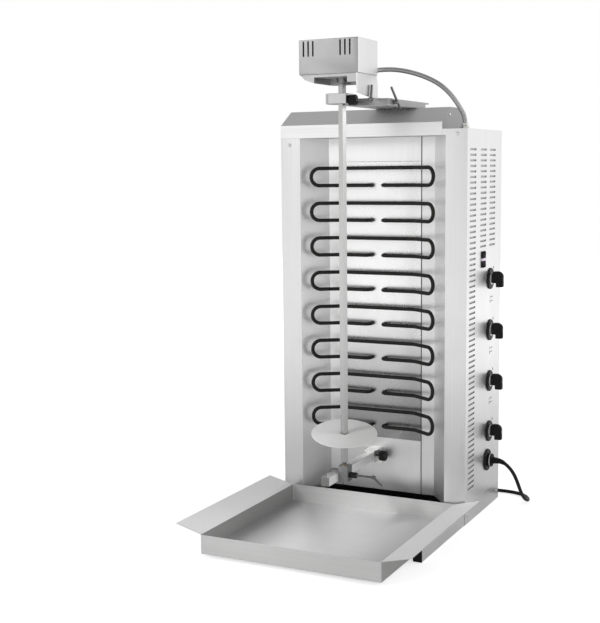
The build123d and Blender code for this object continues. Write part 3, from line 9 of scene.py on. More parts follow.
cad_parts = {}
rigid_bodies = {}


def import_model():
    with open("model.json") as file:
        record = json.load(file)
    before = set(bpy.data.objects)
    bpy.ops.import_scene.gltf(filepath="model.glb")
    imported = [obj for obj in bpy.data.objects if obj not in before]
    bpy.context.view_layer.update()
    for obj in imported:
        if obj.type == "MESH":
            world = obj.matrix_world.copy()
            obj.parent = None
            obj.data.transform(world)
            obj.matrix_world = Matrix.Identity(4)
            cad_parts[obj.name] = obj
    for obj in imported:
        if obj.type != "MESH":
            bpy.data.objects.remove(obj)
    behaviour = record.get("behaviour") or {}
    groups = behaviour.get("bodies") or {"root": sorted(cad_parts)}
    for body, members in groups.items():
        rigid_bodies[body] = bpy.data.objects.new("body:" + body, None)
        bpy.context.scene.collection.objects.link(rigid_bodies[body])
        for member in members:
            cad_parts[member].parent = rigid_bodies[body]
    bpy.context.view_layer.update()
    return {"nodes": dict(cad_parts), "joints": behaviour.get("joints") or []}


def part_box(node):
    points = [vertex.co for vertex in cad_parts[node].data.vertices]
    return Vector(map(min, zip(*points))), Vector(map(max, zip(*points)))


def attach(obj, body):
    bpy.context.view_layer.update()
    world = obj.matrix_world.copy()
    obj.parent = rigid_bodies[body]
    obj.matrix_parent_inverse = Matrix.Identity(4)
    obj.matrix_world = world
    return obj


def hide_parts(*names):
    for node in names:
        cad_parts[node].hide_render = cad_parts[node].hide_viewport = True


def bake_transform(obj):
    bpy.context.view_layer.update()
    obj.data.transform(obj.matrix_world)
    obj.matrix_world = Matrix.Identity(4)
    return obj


bl_info = {
    "name": "Vertical Kebab Grill",
    "version": (1, 0, 0),
    "blender": (4, 5, 0),
    "location": "View3D > Sidebar > Grill",
    "description": "Builds the looks of a vertical kebab grill round its packed frame",
    "category": "Object",
}

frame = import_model()
NODES = frame["nodes"]

# The camera of the photograph, found from the object's edges. Metres and degrees.
PHOTO_W = 600
PHOTO_H = 623
FOCAL_PIXELS = 1152.59
CAMERA_PLACE = (1.04167, -2.43974, 0.81176)
CAMERA_YAW = 26.68
CAMERA_PITCH = 7.08
CAMERA_ROLL = -0.62
SENSOR_MM = 36.0

# Places and sizes that the pieces share with the frame
BODY_LOW, BODY_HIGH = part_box("control_cover")
SIDE_X = BODY_HIGH.x
KNOB_NAMES = [name for name in sorted(NODES) if name.startswith("knob_")]
ELEMENT_NAMES = [name for name in sorted(NODES) if name.startswith("heating_element_")]

# Points nearer than this are one point
MERGE = 0.000002
ALONG_X = (1.0, 0.0, 0.0)

# Supply cord: the route from the strain relief round behind the casing, then the put-away coil
CORD_RADIUS = 0.0042
CORD_ROUTE = [
    (0.2590, 0.1600, 0.1170),
    (0.2700, 0.1600, 0.1150),
    (0.2830, 0.1603, 0.1055),
    (0.2940, 0.1613, 0.0925),
    (0.3015, 0.1645, 0.0755),
    (0.3060, 0.1710, 0.0570),
    (0.3095, 0.1830, 0.0365),
    (0.3120, 0.2030, 0.0190),
    (0.3120, 0.2290, 0.0085),
    (0.3060, 0.2560, 0.0050),
    (0.2910, 0.2790, 0.0045),
    (0.2680, 0.2940, 0.0045),
    (0.2380, 0.2990, 0.0045),
    (0.2040, 0.2965, 0.0045),
    (0.1700, 0.2915, 0.0045),
    (0.1380, 0.2870, 0.0046),
    (0.1050, 0.285125, 0.0045),
    (0.0684, 0.285125, 0.0045),
]
COIL_CENTRE = (0.060, 0.343)
COIL_TURNS = 5
COIL_STEPS = 16
COIL_OUTER = 0.057875
COIL_PITCH = 0.0095
COIL_LOW = 0.0045
COIL_HIGH = 0.0140
COIL_LEAD = 0.046
COIL_SPREAD = 1.4

# Strain relief: its length and the step between its rings. Plug: the distance between its pins
RELIEF_LENGTH = 0.030
RELIEF_STEP = 0.0005
PIN_APART = 0.019

# Flexible conduit from the motor to the control box
CONDUIT_ROUTE = [
    (0.0440, -0.1010, 1.0210),
    (0.0440, -0.0820, 1.0210),
    (0.0570, -0.0640, 1.0240),
    (0.0820, -0.0500, 1.0240),
    (0.1120, -0.0370, 1.0180),
    (0.1430, -0.0215, 1.0065),
    (0.1700, -0.0080, 0.9905),
    (0.1910, 0.0050, 0.9680),
    (0.2050, 0.0170, 0.9430),
    (0.2140, 0.0300, 0.9210),
    (0.2140, 0.0300, 0.9070),
]
CONDUIT_RADIUS = 0.0052

# Thickness of the casing's sheets, and the share of the fold radius that stays within it
SHEET = 0.0012
FOLD_SHARE = 0.62

# Vent slots of the side panel: height of the top row's middle, pitch, size, and (y, count) of each column
SLOT_TOP = 0.850
SLOT_PITCH = 0.01224
SLOT_LENGTH = 0.0430
SLOT_WIDTH = 0.0046
SLOT_COLUMNS = ((0.041, 64), (0.117, 19), (0.185, 19))

# Width of a knob's grip, radius of a cross rod, distance from the rocker frame's edge to its box,
# and thickness of the printed marks
GRIP_WIDTH = 0.01036
ROD_RADIUS = 0.0026
BEZEL_RIM = 0.0027
PRINT_THICK = 0.00008

# Rows of numbers below a knob: distance of the first from the knob's middle, and the step to the next
MARK_DROP = 0.0440
MARK_PITCH = 0.0096

# Sheet pieces: node, body, material, and the rounding of their cut edges
SHEETS = (
    ("left_casing", "base", "steel_upright", 0.00035),
    ("control_cover", "base", "steel_upright", 0.00035),
    ("back_panel", "base", "steel_upright", 0.00035),
    ("hood", "base", "steel_across", 0.00035),
    ("chamber_lining", "base", "chamber_satin", 0.0003),
    ("chamber_panels", "base", "chamber_satin", 0.0002),
    ("reflector_plate", "base", "reflector_polish", 0.0002),
    ("base_channels", "base", "steel_deep", 0.00035),
    ("base_rails", "base", "steel_deep", 0.0008),
    ("tray_runners", "base", "steel_deep", 0.0003),
    ("drip_tray", "tray", "tray_steel", 0.0004),
    ("motor_cover", "carriage", "cover_steel", 0.0004),
    ("motor_base", "carriage", "pan_steel", 0.0004),
    ("motor_bracket", "carriage", "steel_upright", 0.0006),
    ("carriage", "carriage", "cover_steel", 0.0006),
    ("slide_bar", "base", "steel_deep", 0.0006),
)

# Solid pieces: node, body, material, and the rounding of their edges
BLOCKS = (
    ("skewer_holder", "carriage", "holder_steel", 0.0010),
    ("lower_arm", "base", "bright_drawn", 0.0005),
    ("arm_mount", "base", "bright_drawn", 0.0008),
    ("bearing_block", "block", "dark_cast", 0.0008),
    ("skewer", "spit", "spit_steel", 0.0007),
    ("disc_collar", "collar", "bright_turned", 0.0005),
    ("rail_caps", "base", "black_moulding", 0.0008),
)

# Long folds with a round outer corner, by node: 0 and 1 are the low and high ends of its box,
# and None stands for the direction that the fold runs along
FOLDS = {
    "left_casing": ((0, 0, None),),
    "control_cover": ((1, 0, None), (1, None, 1)),
    "motor_cover": (
        *((x, y, None) for x in (0, 1) for y in (0, 1)),
        *((None, y, 1) for y in (0, 1)),
        *((x, None, 1) for x in (0, 1)),
    ),
}

# Second finishes: node, finish, and the faces that get it, by the least share of their normal along a way.
# Each is a lighter or darker copy of the piece's own finish: the lighter ones are painted light and the
# darker ones painted shade.
SECOND_FINISHES = (
    ("hood", "hood_steel", (0.0, 1.0, 0.0), -0.95),
    ("hood", "hood_end", (1.0, 0.0, 0.0), 0.95),
    ("motor_cover", "cover_side", (1.0, 0.0, 0.0), 0.7),
    ("control_cover", "side_steel", (1.0, 0.0, 0.0), 0.7),
    ("carriage", "plated_underside", (0.0, 0.0, -1.0), 0.7),
    ("drip_tray", "tray_flank", (1.0, 0.0, 0.0), 0.9),
    ("drip_tray", "tray_floor", (0.0, 0.0, 1.0), 0.995),
    ("drip_tray", "tray_wing", (0.25, 0.0, 0.968), 0.997),
    ("drip_tray", "tray_wing", (-0.25, 0.0, 0.968), 0.997),
    ("lower_arm", "arm_flank", (1.0, 0.0, 0.0), 0.7),
    ("lower_arm", "arm_end", (0.0, -1.0, 0.0), 0.7),
)

# Frame nodes that keep their own shape and get a finish
KEPT = (
    ("inner_partition", "steel_upright"),
    ("floor_plate", "steel_deep"),
    ("base_crossbars", "steel_across"),
    ("meat_disc", "disc_steel"),
    ("output_socket", "dark_turned"),
    ("bearing_bush", "bronze_sinter"),
    ("gear_motor", "gear_paint"),
    ("switch_bodies", "black_moulding"),
    ("terminal_block", "terminal_plastic"),
    ("element_nuts", "zinc_plate"),
)


def set_active(piece):
    if bpy.context.object and bpy.context.object.mode != "OBJECT":
        bpy.ops.object.mode_set(mode="OBJECT")
    bpy.ops.object.select_all(action="DESELECT")
    piece.select_set(True)
    bpy.context.view_layer.objects.active = piece


def start_edit(piece, kind="FACE"):
    set_active(piece)
    bpy.ops.object.mode_set(mode="EDIT")
    bpy.ops.mesh.select_mode(type=kind)
    bpy.ops.mesh.select_all(action="DESELECT")


def end_edit():
    bpy.ops.object.mode_set(mode="OBJECT")


def pick_faces(piece, test):
    """Selects the faces of the edited piece whose centre and normal pass the test."""
    mesh = bmesh.from_edit_mesh(piece.data)
    for face in mesh.faces:
        if test(face.calc_center_median(), face.normal):
            face.select_set(True)
    mesh.select_flush(True)
    bmesh.update_edit_mesh(piece.data)


def pick_edges(piece, test):
    """Selects the edges of the edited piece whose middle and direction pass the test."""
    mesh = bmesh.from_edit_mesh(piece.data)
    for edge in mesh.edges:
        a, b = edge.verts[0].co, edge.verts[1].co
        if (b - a).length > 0 and test((a + b) / 2, (b - a).normalized()):
            edge.select_set(True)
    mesh.select_flush(False)
    bmesh.update_edit_mesh(piece.data)


def pick_points(piece, test):
    """Selects the points of the edited piece that pass the test."""
    mesh = bmesh.from_edit_mesh(piece.data)
    for point in mesh.verts:
        if test(point.co):
            point.select_set(True)
    mesh.select_flush(True)
    bmesh.update_edit_mesh(piece.data)


def merge_and_face_out(piece):
    start_edit(piece, "VERT")
    bpy.ops.mesh.select_all(action="SELECT")
    bpy.ops.mesh.remove_doubles(threshold=MERGE)
    bpy.ops.mesh.normals_make_consistent(inside=False)
    end_edit()


def linked(name, data):
    """A new object in the scene that shows some data."""
    piece = bpy.data.objects.new(name, data)
    bpy.context.scene.collection.objects.link(piece)
    return piece


def new_piece(name, points, edges, faces):
    """A new piece with a mesh of its own."""
    mesh = bpy.data.meshes.new(name)
    mesh.from_pydata(points, edges, faces)
    return linked(name, mesh)


def bevel_edges(piece, test, offset, segments):
    """Rounds the edges whose middle and direction pass the test."""
    start_edit(piece, "EDGE")
    pick_edges(piece, test)
    bpy.ops.mesh.bevel(offset=offset, segments=segments, affect="EDGES")
    end_edit()


def sink_end(piece, rim, depth):
    """Insets the faces that look along X and pushes them in."""
    start_edit(piece)
    pick_faces(piece, lambda centre, normal: normal.x > 0.9)
    bpy.ops.mesh.inset(thickness=rim, depth=0.0)
    bpy.ops.mesh.extrude_region_move(TRANSFORM_OT_translate={"value": (-depth, 0.0, 0.0)})
    end_edit()


def pick_grooves(piece, count, y, z, nearness, beyond=0.0):
    """Selects the points of a barrel along X that lie at even angles round it."""
    start_edit(piece, "VERT")
    for k in range(count):
        angle = 2 * pi * k / count
        way = Vector((0.0, cos(angle), sin(angle)))

        def in_groove(spot):
            out = Vector((0.0, spot.y - y, spot.z - z))
            return out.length > beyond and out.normalized().dot(way) > nearness

        pick_points(piece, in_groove)


def apply_place(piece):
    set_active(piece)
    bpy.ops.object.transform_apply(location=True, rotation=True, scale=True)


def smooth_flats(piece, angle=32.0):
    set_active(piece)
    bpy.ops.object.shade_smooth_by_angle(angle=radians(angle))


def round_edges(piece, width, segments=2, angle=32.0):
    """Rounds the sharp edges with a bevel that keeps flat faces flat."""
    smooth_flats(piece, angle)
    bevel = piece.modifiers.new("edge rounding", "BEVEL")
    bevel.width = width
    bevel.segments = segments
    bevel.limit_method = "ANGLE"
    bevel.angle_limit = radians(angle)
    bevel.harden_normals = True
    bevel.use_clamp_overlap = True
    bpy.ops.object.modifier_apply(modifier=bevel.name)


def block_at(name, low, high):
    """A cube between two corners, as a start for shaping."""
    low, high = Vector(low), Vector(high)
    bpy.ops.mesh.primitive_cube_add(size=1, location=(low + high) / 2, scale=high - low)
    piece = bpy.context.object
    piece.name = name
    apply_place(piece)
    return piece


def barrel_at(sides, radius, length, middle, turn=(0.0, pi / 2, 0.0)):
    """A cylinder, along X if it isn't turned another way, as a start for shaping."""
    bpy.ops.mesh.primitive_cylinder_add(
        vertices=sides, radius=radius, depth=length, location=middle, rotation=turn
    )
    piece = bpy.context.object
    apply_place(piece)
    return piece


def profiled(name, outline, low_y, high_y):
    """A straight piece: an outline of (x, z) corners drawn out along Y."""
    corners = [(x, low_y, z) for x, z in outline]
    piece = new_piece(name, corners, [], [tuple(range(len(corners)))])
    start_edit(piece)
    bpy.ops.mesh.select_all(action="SELECT")
    bpy.ops.mesh.extrude_region_move(TRANSFORM_OT_translate={"value": (0.0, high_y - low_y, 0.0)})
    end_edit()
    merge_and_face_out(piece)
    return piece


def turned(name, outline, start, steps, axis=ALONG_X, closed=False, smooth=None):
    """A turned piece: an outline of (radius, distance along) points spun round an axis."""
    axis = Vector(axis).normalized()
    start = Vector(start)
    out = axis.orthogonal().normalized()
    points = [start + out * r + axis * along for r, along in outline]
    edges = [(i, i + 1) for i in range(len(points) - 1)]
    if closed:
        edges.append((len(points) - 1, 0))
    piece = new_piece(name, points, edges, [])
    start_edit(piece, "VERT")
    bpy.ops.mesh.select_all(action="SELECT")
    bpy.ops.mesh.spin(steps=steps, angle=2 * pi, center=start, axis=axis)
    end_edit()
    merge_and_face_out(piece)
    if smooth:
        smooth_flats(piece, smooth)
    return piece


def joined(name, pieces):
    set_active(pieces[0])
    for piece in pieces[1:]:
        piece.select_set(True)
    bpy.ops.object.join()
    whole = bpy.context.object
    whole.name = name
    return whole


def cut_away(piece, cutter):
    """Cuts one piece out of another and removes the cutter."""
    set_active(piece)
    cut = piece.modifiers.new("cut", "BOOLEAN")
    cut.operation = "DIFFERENCE"
    cut.solver = "EXACT"
    cut.object = cutter
    bpy.ops.object.modifier_apply(modifier=cut.name)
    bpy.data.objects.remove(cutter)


def copied(piece, name, matrix):
    """A copy of a modelled piece with its own mesh, moved to its place."""
    mesh = piece.data.copy()
    mesh.transform(matrix)
    return linked(name, mesh)


def dress(piece, body, material_name, stands_for=()):
    """Gives a finished piece its material and its body, and hides the nodes it stands for."""
    apply_place(piece)
    piece.data.materials.clear()
    piece.data.materials.append(material(material_name))
    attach(piece, body)
    if stands_for:
        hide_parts(*stands_for)


def refinish(piece, node):
    """Gives a piece's faces that look a certain way the second finish listed for them."""
    for listed, finish, axis, least in SECOND_FINISHES:
        if listed != node:
            continue
        piece.data.materials.append(material(finish))
        for face in piece.data.polygons:
            if face.normal.dot(Vector(axis)) > least:
                face.material_index = len(piece.data.materials) - 1


def frame_copy(node, name):
    """A clean copy of a frame node's shape: merged, with flat faces joined up."""
    piece = linked(name, NODES[node].data.copy())
    set_active(piece)
    bpy.ops.mesh.customdata_custom_splitnormals_clear()
    start_edit(piece, "VERT")
    bpy.ops.mesh.select_all(action="SELECT")
    bpy.ops.mesh.remove_doubles(threshold=MERGE)
    bpy.ops.mesh.dissolve_limited(angle_limit=radians(0.3))
    end_edit()
    return piece


def islands(mesh):
    """The separate shells of a mesh, each as a list of points."""
    work = bmesh.new()
    work.from_mesh(mesh)
    bmesh.ops.remove_doubles(work, verts=work.verts, dist=MERGE)
    seen = set()
    shells = []
    for first in work.verts:
        if first in seen:
            continue
        shell, open_points = [], [first]
        seen.add(first)
        while open_points:
            point = open_points.pop()
            shell.append(point.co.copy())
            for edge in point.link_edges:
                other = edge.other_vert(point)
                if other not in seen:
                    seen.add(other)
                    open_points.append(other)
        shells.append(shell)
    work.free()
    return shells


def curve_points(route, resolution=12):
    """Points along the smooth line that a given route controls."""
    curve = smooth_line("route", route, resolution)
    mesh = bpy.data.meshes.new_from_object(curve)
    points = [v.co.copy() for v in mesh.vertices]
    bpy.data.objects.remove(curve)
    return points


def smooth_line(name, route, resolution):
    data = bpy.data.curves.new(name, "CURVE")
    data.dimensions = "3D"
    data.resolution_u = resolution
    spline = data.splines.new("NURBS")
    spline.points.add(len(route) - 1)
    for point, place in zip(spline.points, route):
        point.co = (*place, 1.0)
    spline.order_u = 3
    spline.use_endpoint_u = True
    return linked(name, data)


def even_steps(points, step):
    """The same line with points at even distances."""
    lengths = [0.0]
    for a, b in zip(points, points[1:]):
        lengths.append(lengths[-1] + (b - a).length)
    count = max(2, round(lengths[-1] / step))
    out = []
    k = 0
    for i in range(count + 1):
        wanted = lengths[-1] * i / count
        while k < len(lengths) - 2 and lengths[k + 1] < wanted:
            k += 1
        share = (wanted - lengths[k]) / max(lengths[k + 1] - lengths[k], 1e-9)
        out.append(points[k].lerp(points[k + 1], min(max(share, 0.0), 1.0)))
    return out


def ringed_tube(name, points, radii, sides=24):
    """A closed tube along points with its own radius at each one."""
    rings = []
    faces = []
    side = (points[1] - points[0]).orthogonal().normalized()
    before = (points[1] - points[0]).normalized()
    for i, (point, radius) in enumerate(zip(points, radii)):
        a = points[max(i - 1, 0)]
        b = points[min(i + 1, len(points) - 1)]
        along = (b - a).normalized()
        side = before.rotation_difference(along) @ side
        before = along
        for k in range(sides):
            rings.append(point + Quaternion(along, 2 * pi * k / sides) @ side * radius)
    for i in range(len(points) - 1):
        for k in range(sides):
            n = (k + 1) % sides
            faces.append((i * sides + k, i * sides + n, (i + 1) * sides + n, (i + 1) * sides + k))
    faces.append(tuple(range(sides))[::-1])
    faces.append(tuple(range((len(points) - 1) * sides, len(points) * sides)))
    piece = new_piece(name, rings, [], faces)
    merge_and_face_out(piece)
    return piece


def new_group(name, inputs, outputs):
    """An empty node group with named inputs and outputs."""
    group = bpy.data.node_groups.new(name, "ShaderNodeTree")
    for label, kind, value in inputs:
        socket = group.interface.new_socket(label, in_out="INPUT", socket_type=kind)
        if value is not None:
            socket.default_value = value
    for label, kind in outputs:
        group.interface.new_socket(label, in_out="OUTPUT", socket_type=kind)
    return group, group.nodes.new("NodeGroupInput"), group.nodes.new("NodeGroupOutput")


def ranged(tree, value, low, high, to_low, to_high, smooth=False):
    """A value moved from one range to another."""
    node = tree.nodes.new("ShaderNodeMapRange")
    if smooth:
        node.interpolation_type = "SMOOTHSTEP"
    node.inputs["From Min"].default_value = low
    node.inputs["From Max"].default_value = high
    node.inputs["To Min"].default_value = to_low
    node.inputs["To Max"].default_value = to_high
    tree.links.new(value, node.inputs["Value"])
    return node.outputs["Result"]


def computed(tree, operation, first, second=None):
    """One step of arithmetic on values or sockets."""
    node = tree.nodes.new("ShaderNodeMath")
    node.operation = operation
    for socket, value in zip(node.inputs, (first, second)):
        if value is None:
            continue
        if isinstance(value, (int, float)):
            socket.default_value = value
        else:
            tree.links.new(value, socket)
    return node.outputs[0]


def noise(tree, vector, scale, detail=4.0, roughness=0.55):
    node = tree.nodes.new("ShaderNodeTexNoise")
    node.inputs["Scale"].default_value = scale
    node.inputs["Detail"].default_value = detail
    node.inputs["Roughness"].default_value = roughness
    tree.links.new(vector, node.inputs["Vector"])
    return node.outputs["Fac"]


def mixed(tree, factor, low, high):
    """A colour between two colours."""
    node = tree.nodes.new("ShaderNodeMix")
    node.data_type = "RGBA"
    tree.links.new(factor, node.inputs[0])
    for socket, colour in ((node.inputs[6], low), (node.inputs[7], high)):
        if isinstance(colour, tuple):
            socket.default_value = (*colour, 1.0)
        else:
            tree.links.new(colour, socket)
    return node.outputs[2]


def measured(tree, operation, first, second=None):
    """The length of a vector, or its dot product with another."""
    node = tree.nodes.new("ShaderNodeVectorMath")
    node.operation = operation
    tree.links.new(first, node.inputs[0])
    if isinstance(second, tuple):
        node.inputs[1].default_value = second
    elif second is not None:
        tree.links.new(second, node.inputs[1])
    return node.outputs["Value"]


def parts_of(tree, vector):
    """The X, Y and Z of a vector, by name."""
    node = tree.nodes.new("ShaderNodeSeparateXYZ")
    tree.links.new(vector, node.inputs[0])
    return node.outputs


def stretched(tree, scale=(1.0, 1.0, 1.0), location=(0.0, 0.0, 0.0)):
    """Object coordinates, placed and stretched."""
    coords = tree.nodes.new("ShaderNodeTexCoord")
    mapping = tree.nodes.new("ShaderNodeMapping")
    mapping.inputs["Location"].default_value = location
    mapping.inputs["Scale"].default_value = scale
    tree.links.new(coords.outputs["Object"], mapping.inputs["Vector"])
    return mapping.outputs["Vector"]


def grain_group():
    """Brushed grain: fine streaks and broad bands along one direction."""
    found = bpy.data.node_groups.get("Brushed grain")
    if found:
        return found
    group, entry, leave = new_group(
        "Brushed grain",
        [("Vector", "NodeSocketVector", None)],
        [("Streaks", "NodeSocketFloat"), ("Bands", "NodeSocketFloat")],
    )
    fine = noise(group, entry.outputs["Vector"], 1.0, 8.0, 0.72)
    broad = noise(group, entry.outputs["Vector"], 0.07, 3.0, 0.6)
    group.links.new(ranged(group, fine, 0.28, 0.72, 0.0, 1.0), leave.inputs["Streaks"])
    group.links.new(ranged(group, broad, 0.3, 0.7, 0.0, 1.0), leave.inputs["Bands"])
    return group


def smudge_group():
    """Handling marks: soft clouds and small specks."""
    found = bpy.data.node_groups.get("Handling marks")
    if found:
        return found
    group, entry, leave = new_group(
        "Handling marks",
        [("Vector", "NodeSocketVector", None)],
        [("Clouds", "NodeSocketFloat"), ("Specks", "NodeSocketFloat")],
    )
    clouds = noise(group, entry.outputs["Vector"], 9.0, 5.0, 0.62)
    specks = noise(group, entry.outputs["Vector"], 420.0, 2.0, 0.5)
    group.links.new(ranged(group, clouds, 0.35, 0.68, 0.0, 1.0), leave.inputs["Clouds"])
    group.links.new(ranged(group, specks, 0.62, 0.74, 0.0, 1.0), leave.inputs["Specks"])
    return group


def edge_group():
    """Worn edges: a mask of the places where the surface turns sharply."""
    found = bpy.data.node_groups.get("Worn edges")
    if found:
        return found
    group, entry, leave = new_group(
        "Worn edges",
        [("Radius", "NodeSocketFloat", 0.0008), ("Vector", "NodeSocketVector", None)],
        [("Edge", "NodeSocketFloat")],
    )
    bevel = group.nodes.new("ShaderNodeBevel")
    bevel.samples = 4
    group.links.new(entry.outputs["Radius"], bevel.inputs["Radius"])
    geometry = group.nodes.new("ShaderNodeNewGeometry")
    facing = measured(group, "DOT_PRODUCT", bevel.outputs["Normal"], geometry.outputs["Normal"])
    turn = ranged(group, facing, 0.995, 0.9, 0.0, 1.0)
    patches = noise(group, entry.outputs["Vector"], 160.0, 4.0, 0.6)
    broken = ranged(group, patches, 0.42, 0.6, 0.15, 1.0)
    group.links.new(computed(group, "MULTIPLY", turn, broken), leave.inputs["Edge"])
    return group


def use_group(tree, group, **values):
    node = tree.nodes.new("ShaderNodeGroup")
    node.node_tree = group
    for label, value in values.items():
        if isinstance(value, (int, float)):
            node.inputs[label].default_value = value
        else:
            tree.links.new(value, node.inputs[label])
    return node


def blank_material(name):
    made = bpy.data.materials.new(name)
    made.use_nodes = True
    tree = made.node_tree
    tree.nodes.clear()
    output = tree.nodes.new("ShaderNodeOutputMaterial")
    shader = tree.nodes.new("ShaderNodeBsdfPrincipled")
    tree.links.new(shader.outputs["BSDF"], output.inputs["Surface"])
    return made, tree, shader


def raised(tree, shader, height, strength, distance):
    bump = tree.nodes.new("ShaderNodeBump")
    bump.inputs["Strength"].default_value = strength
    bump.inputs["Distance"].default_value = distance
    tree.links.new(height, bump.inputs["Height"])
    tree.links.new(bump.outputs["Normal"], shader.inputs["Normal"])


def look():
    return bpy.context.scene.grill


def scaled(colour, share):
    return tuple(min(c * share, 1.0) for c in colour)


def as_colour(colour, share=1.0):
    """A colour from the name of a setting, a grey level or three numbers, and a share of it."""
    if isinstance(colour, str):
        colour = getattr(look(), colour)
    elif isinstance(colour, float):
        colour = (colour, colour, colour)
    return scaled(colour, share)


def brushed(
    name, colour, grain, rough, share=1.0, spread=0.05, bump=0.12, contrast=0.10, metal=1.0, low_shade=None
):
    """Brushed stainless sheet, with its grain along the axis that is stretched least.

    Towards the bottom the sheet can be darkened as painted shade, given by the low and high level between
    which it clears, the share of its colour left at the low level, and the grey it darkens to.
    """
    colour = as_colour(colour, share)
    made, tree, shader = blank_material(name)
    streaks = use_group(tree, grain_group(), Vector=stretched(tree, grain)).outputs
    clouds = use_group(tree, smudge_group(), Vector=stretched(tree)).outputs["Clouds"]
    dark = scaled(colour, 1 - contrast)
    tone = mixed(tree, streaks["Streaks"], dark, scaled(colour, 1 + contrast / 3))
    tone = mixed(tree, ranged(tree, streaks["Bands"], 0, 1, 0.0, 0.5), tone, dark)
    tone = mixed(tree, ranged(tree, clouds, 0, 1, 0.0, 0.25), tone, scaled(colour, 0.9))
    # Painted shade: the colour darkens towards the bottom of the sheet
    if low_shade:
        low, high, left, grey = low_shade
        clear = ranged(tree, parts_of(tree, stretched(tree))["Z"], low, high, left, 1.0, smooth=True)
        tone = mixed(tree, clear, as_colour(grey), tone)
    tree.links.new(tone, shader.inputs["Base Color"])
    shader.inputs["Metallic"].default_value = metal
    streak_rough = ranged(tree, streaks["Streaks"], 0, 1, rough - spread, rough + spread)
    cloud_rough = ranged(tree, clouds, 0, 1, 0.0, 0.06)
    tree.links.new(computed(tree, "ADD", streak_rough, cloud_rough), shader.inputs["Roughness"])
    raised(tree, shader, streaks["Streaks"], bump, 0.00015)
    return made


def coated(name, colour, worn, rough, radius, metal=0.0, speckle=500.0, bump=0.15, gloss=0.5):
    """Paint, plastic or plating with a fine grain, soft clouds and lighter edges."""
    colour = as_colour(colour)
    made, tree, shader = blank_material(name)
    place = stretched(tree)
    clouds = use_group(tree, smudge_group(), Vector=place).outputs["Clouds"]
    edges = use_group(tree, edge_group(), Radius=radius, Vector=place)
    clouded = mixed(tree, clouds, colour, scaled(colour, 1.35))
    edged = mixed(tree, ranged(tree, edges.outputs["Edge"], 0, 1, 0.0, 0.7), clouded, as_colour(worn))
    tree.links.new(edged, shader.inputs["Base Color"])
    shader.inputs["Metallic"].default_value = metal
    shader.inputs["Specular IOR Level"].default_value = gloss
    tree.links.new(ranged(tree, clouds, 0, 1, rough - 0.06, rough + 0.06), shader.inputs["Roughness"])
    raised(tree, shader, noise(tree, place, speckle, 2.0, 0.5), bump, 0.0001)
    return made


def tray_floor():
    """The tray's floor, lighter than the tray's steel, with painted shade darkening it along its two sides.
    """
    made = brushed("tray_floor", 0.97, (3.0, 260.0, 260.0), 0.44, bump=0.10, contrast=0.08, metal=0.42)
    tree = made.node_tree
    colour = tree.nodes["Principled BSDF"].inputs["Base Color"]
    steel = colour.links[0].from_socket
    across = parts_of(tree, stretched(tree))["X"]
    # Painted shade: the floor darkens towards its left and right walls
    left = ranged(tree, across, -0.200, -0.030, 0.42, 1.0, smooth=True)
    right = ranged(tree, across, 0.060, 0.190, 1.0, 0.45, smooth=True)
    side_shaded = mixed(tree, left, as_colour(0.20), steel)
    tree.links.new(mixed(tree, right, as_colour(0.46), side_shaded), colour)
    return made


def disc_steel():
    """Turned plate: fine rings round the disc's own middle, with a painted highlight that whitens its left
    half and leaves its right half grey.
    """
    low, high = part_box("meat_disc")
    middle = (low + high) / 2
    made, tree, shader = blank_material("disc_steel")
    flat = stretched(tree, (1.0, 1.0, 0.0), location=(-middle.x, -middle.y, 0.0))
    rings = tree.nodes.new("ShaderNodeTexNoise")
    rings.noise_dimensions = "1D"
    rings.inputs["Scale"].default_value = 900.0
    rings.inputs["Detail"].default_value = 3.0
    tree.links.new(measured(tree, "LENGTH", flat), rings.inputs["W"])
    clouds = use_group(tree, smudge_group(), Vector=stretched(tree)).outputs["Clouds"]
    # Painted highlight: white on the disc's left, grey towards its right
    worn = ranged(tree, parts_of(tree, flat)["X"], -0.05, 0.045, 0.0, 1.0, smooth=True)
    plate = mixed(tree, worn, (1.0, 1.0, 1.0), (0.78, 0.78, 0.775))
    ringed = ranged(tree, rings.outputs["Fac"], 0.3, 0.7, 0.0, 0.12)
    tone = mixed(tree, ringed, plate, (0.66, 0.66, 0.655))
    clouded = mixed(tree, ranged(tree, clouds, 0, 1, 0.0, 0.10), tone, (0.70, 0.70, 0.69))
    tree.links.new(clouded, shader.inputs["Base Color"])
    shader.inputs["Metallic"].default_value = 0.12
    tree.links.new(ranged(tree, rings.outputs["Fac"], 0.3, 0.7, 0.46, 0.56), shader.inputs["Roughness"])
    raised(tree, shader, rings.outputs["Fac"], 0.1, 0.0001)
    return made


def element_sheath():
    """Matt black sheath with a faint brown heat tint and ashy patches."""
    made, tree, shader = blank_material("element_sheath")
    place = stretched(tree)
    marks = use_group(tree, smudge_group(), Vector=place)
    tint = noise(tree, place, 24.0, 4.0, 0.6)
    dark = mixed(tree, ranged(tree, tint, 0.4, 0.65, 0, 1), (0.010, 0.010, 0.010), (0.022, 0.019, 0.017))
    ashy = mixed(tree, ranged(tree, marks.outputs["Specks"], 0, 1, 0.0, 0.25), dark, (0.08, 0.075, 0.07))
    tree.links.new(ashy, shader.inputs["Base Color"])
    shader.inputs["Specular IOR Level"].default_value = 0.25
    tree.links.new(ranged(tree, tint, 0.4, 0.65, 0.46, 0.62), shader.inputs["Roughness"])
    raised(tree, shader, noise(tree, place, 700.0, 3.0, 0.6), 0.25, 0.0001)
    return made


# How far each axis is stretched for grain that runs up, across and fore and aft
UP = (230.0, 230.0, 2.2)
ACROSS = (2.2, 230.0, 230.0)
DEEP = (230.0, 2.2, 230.0)

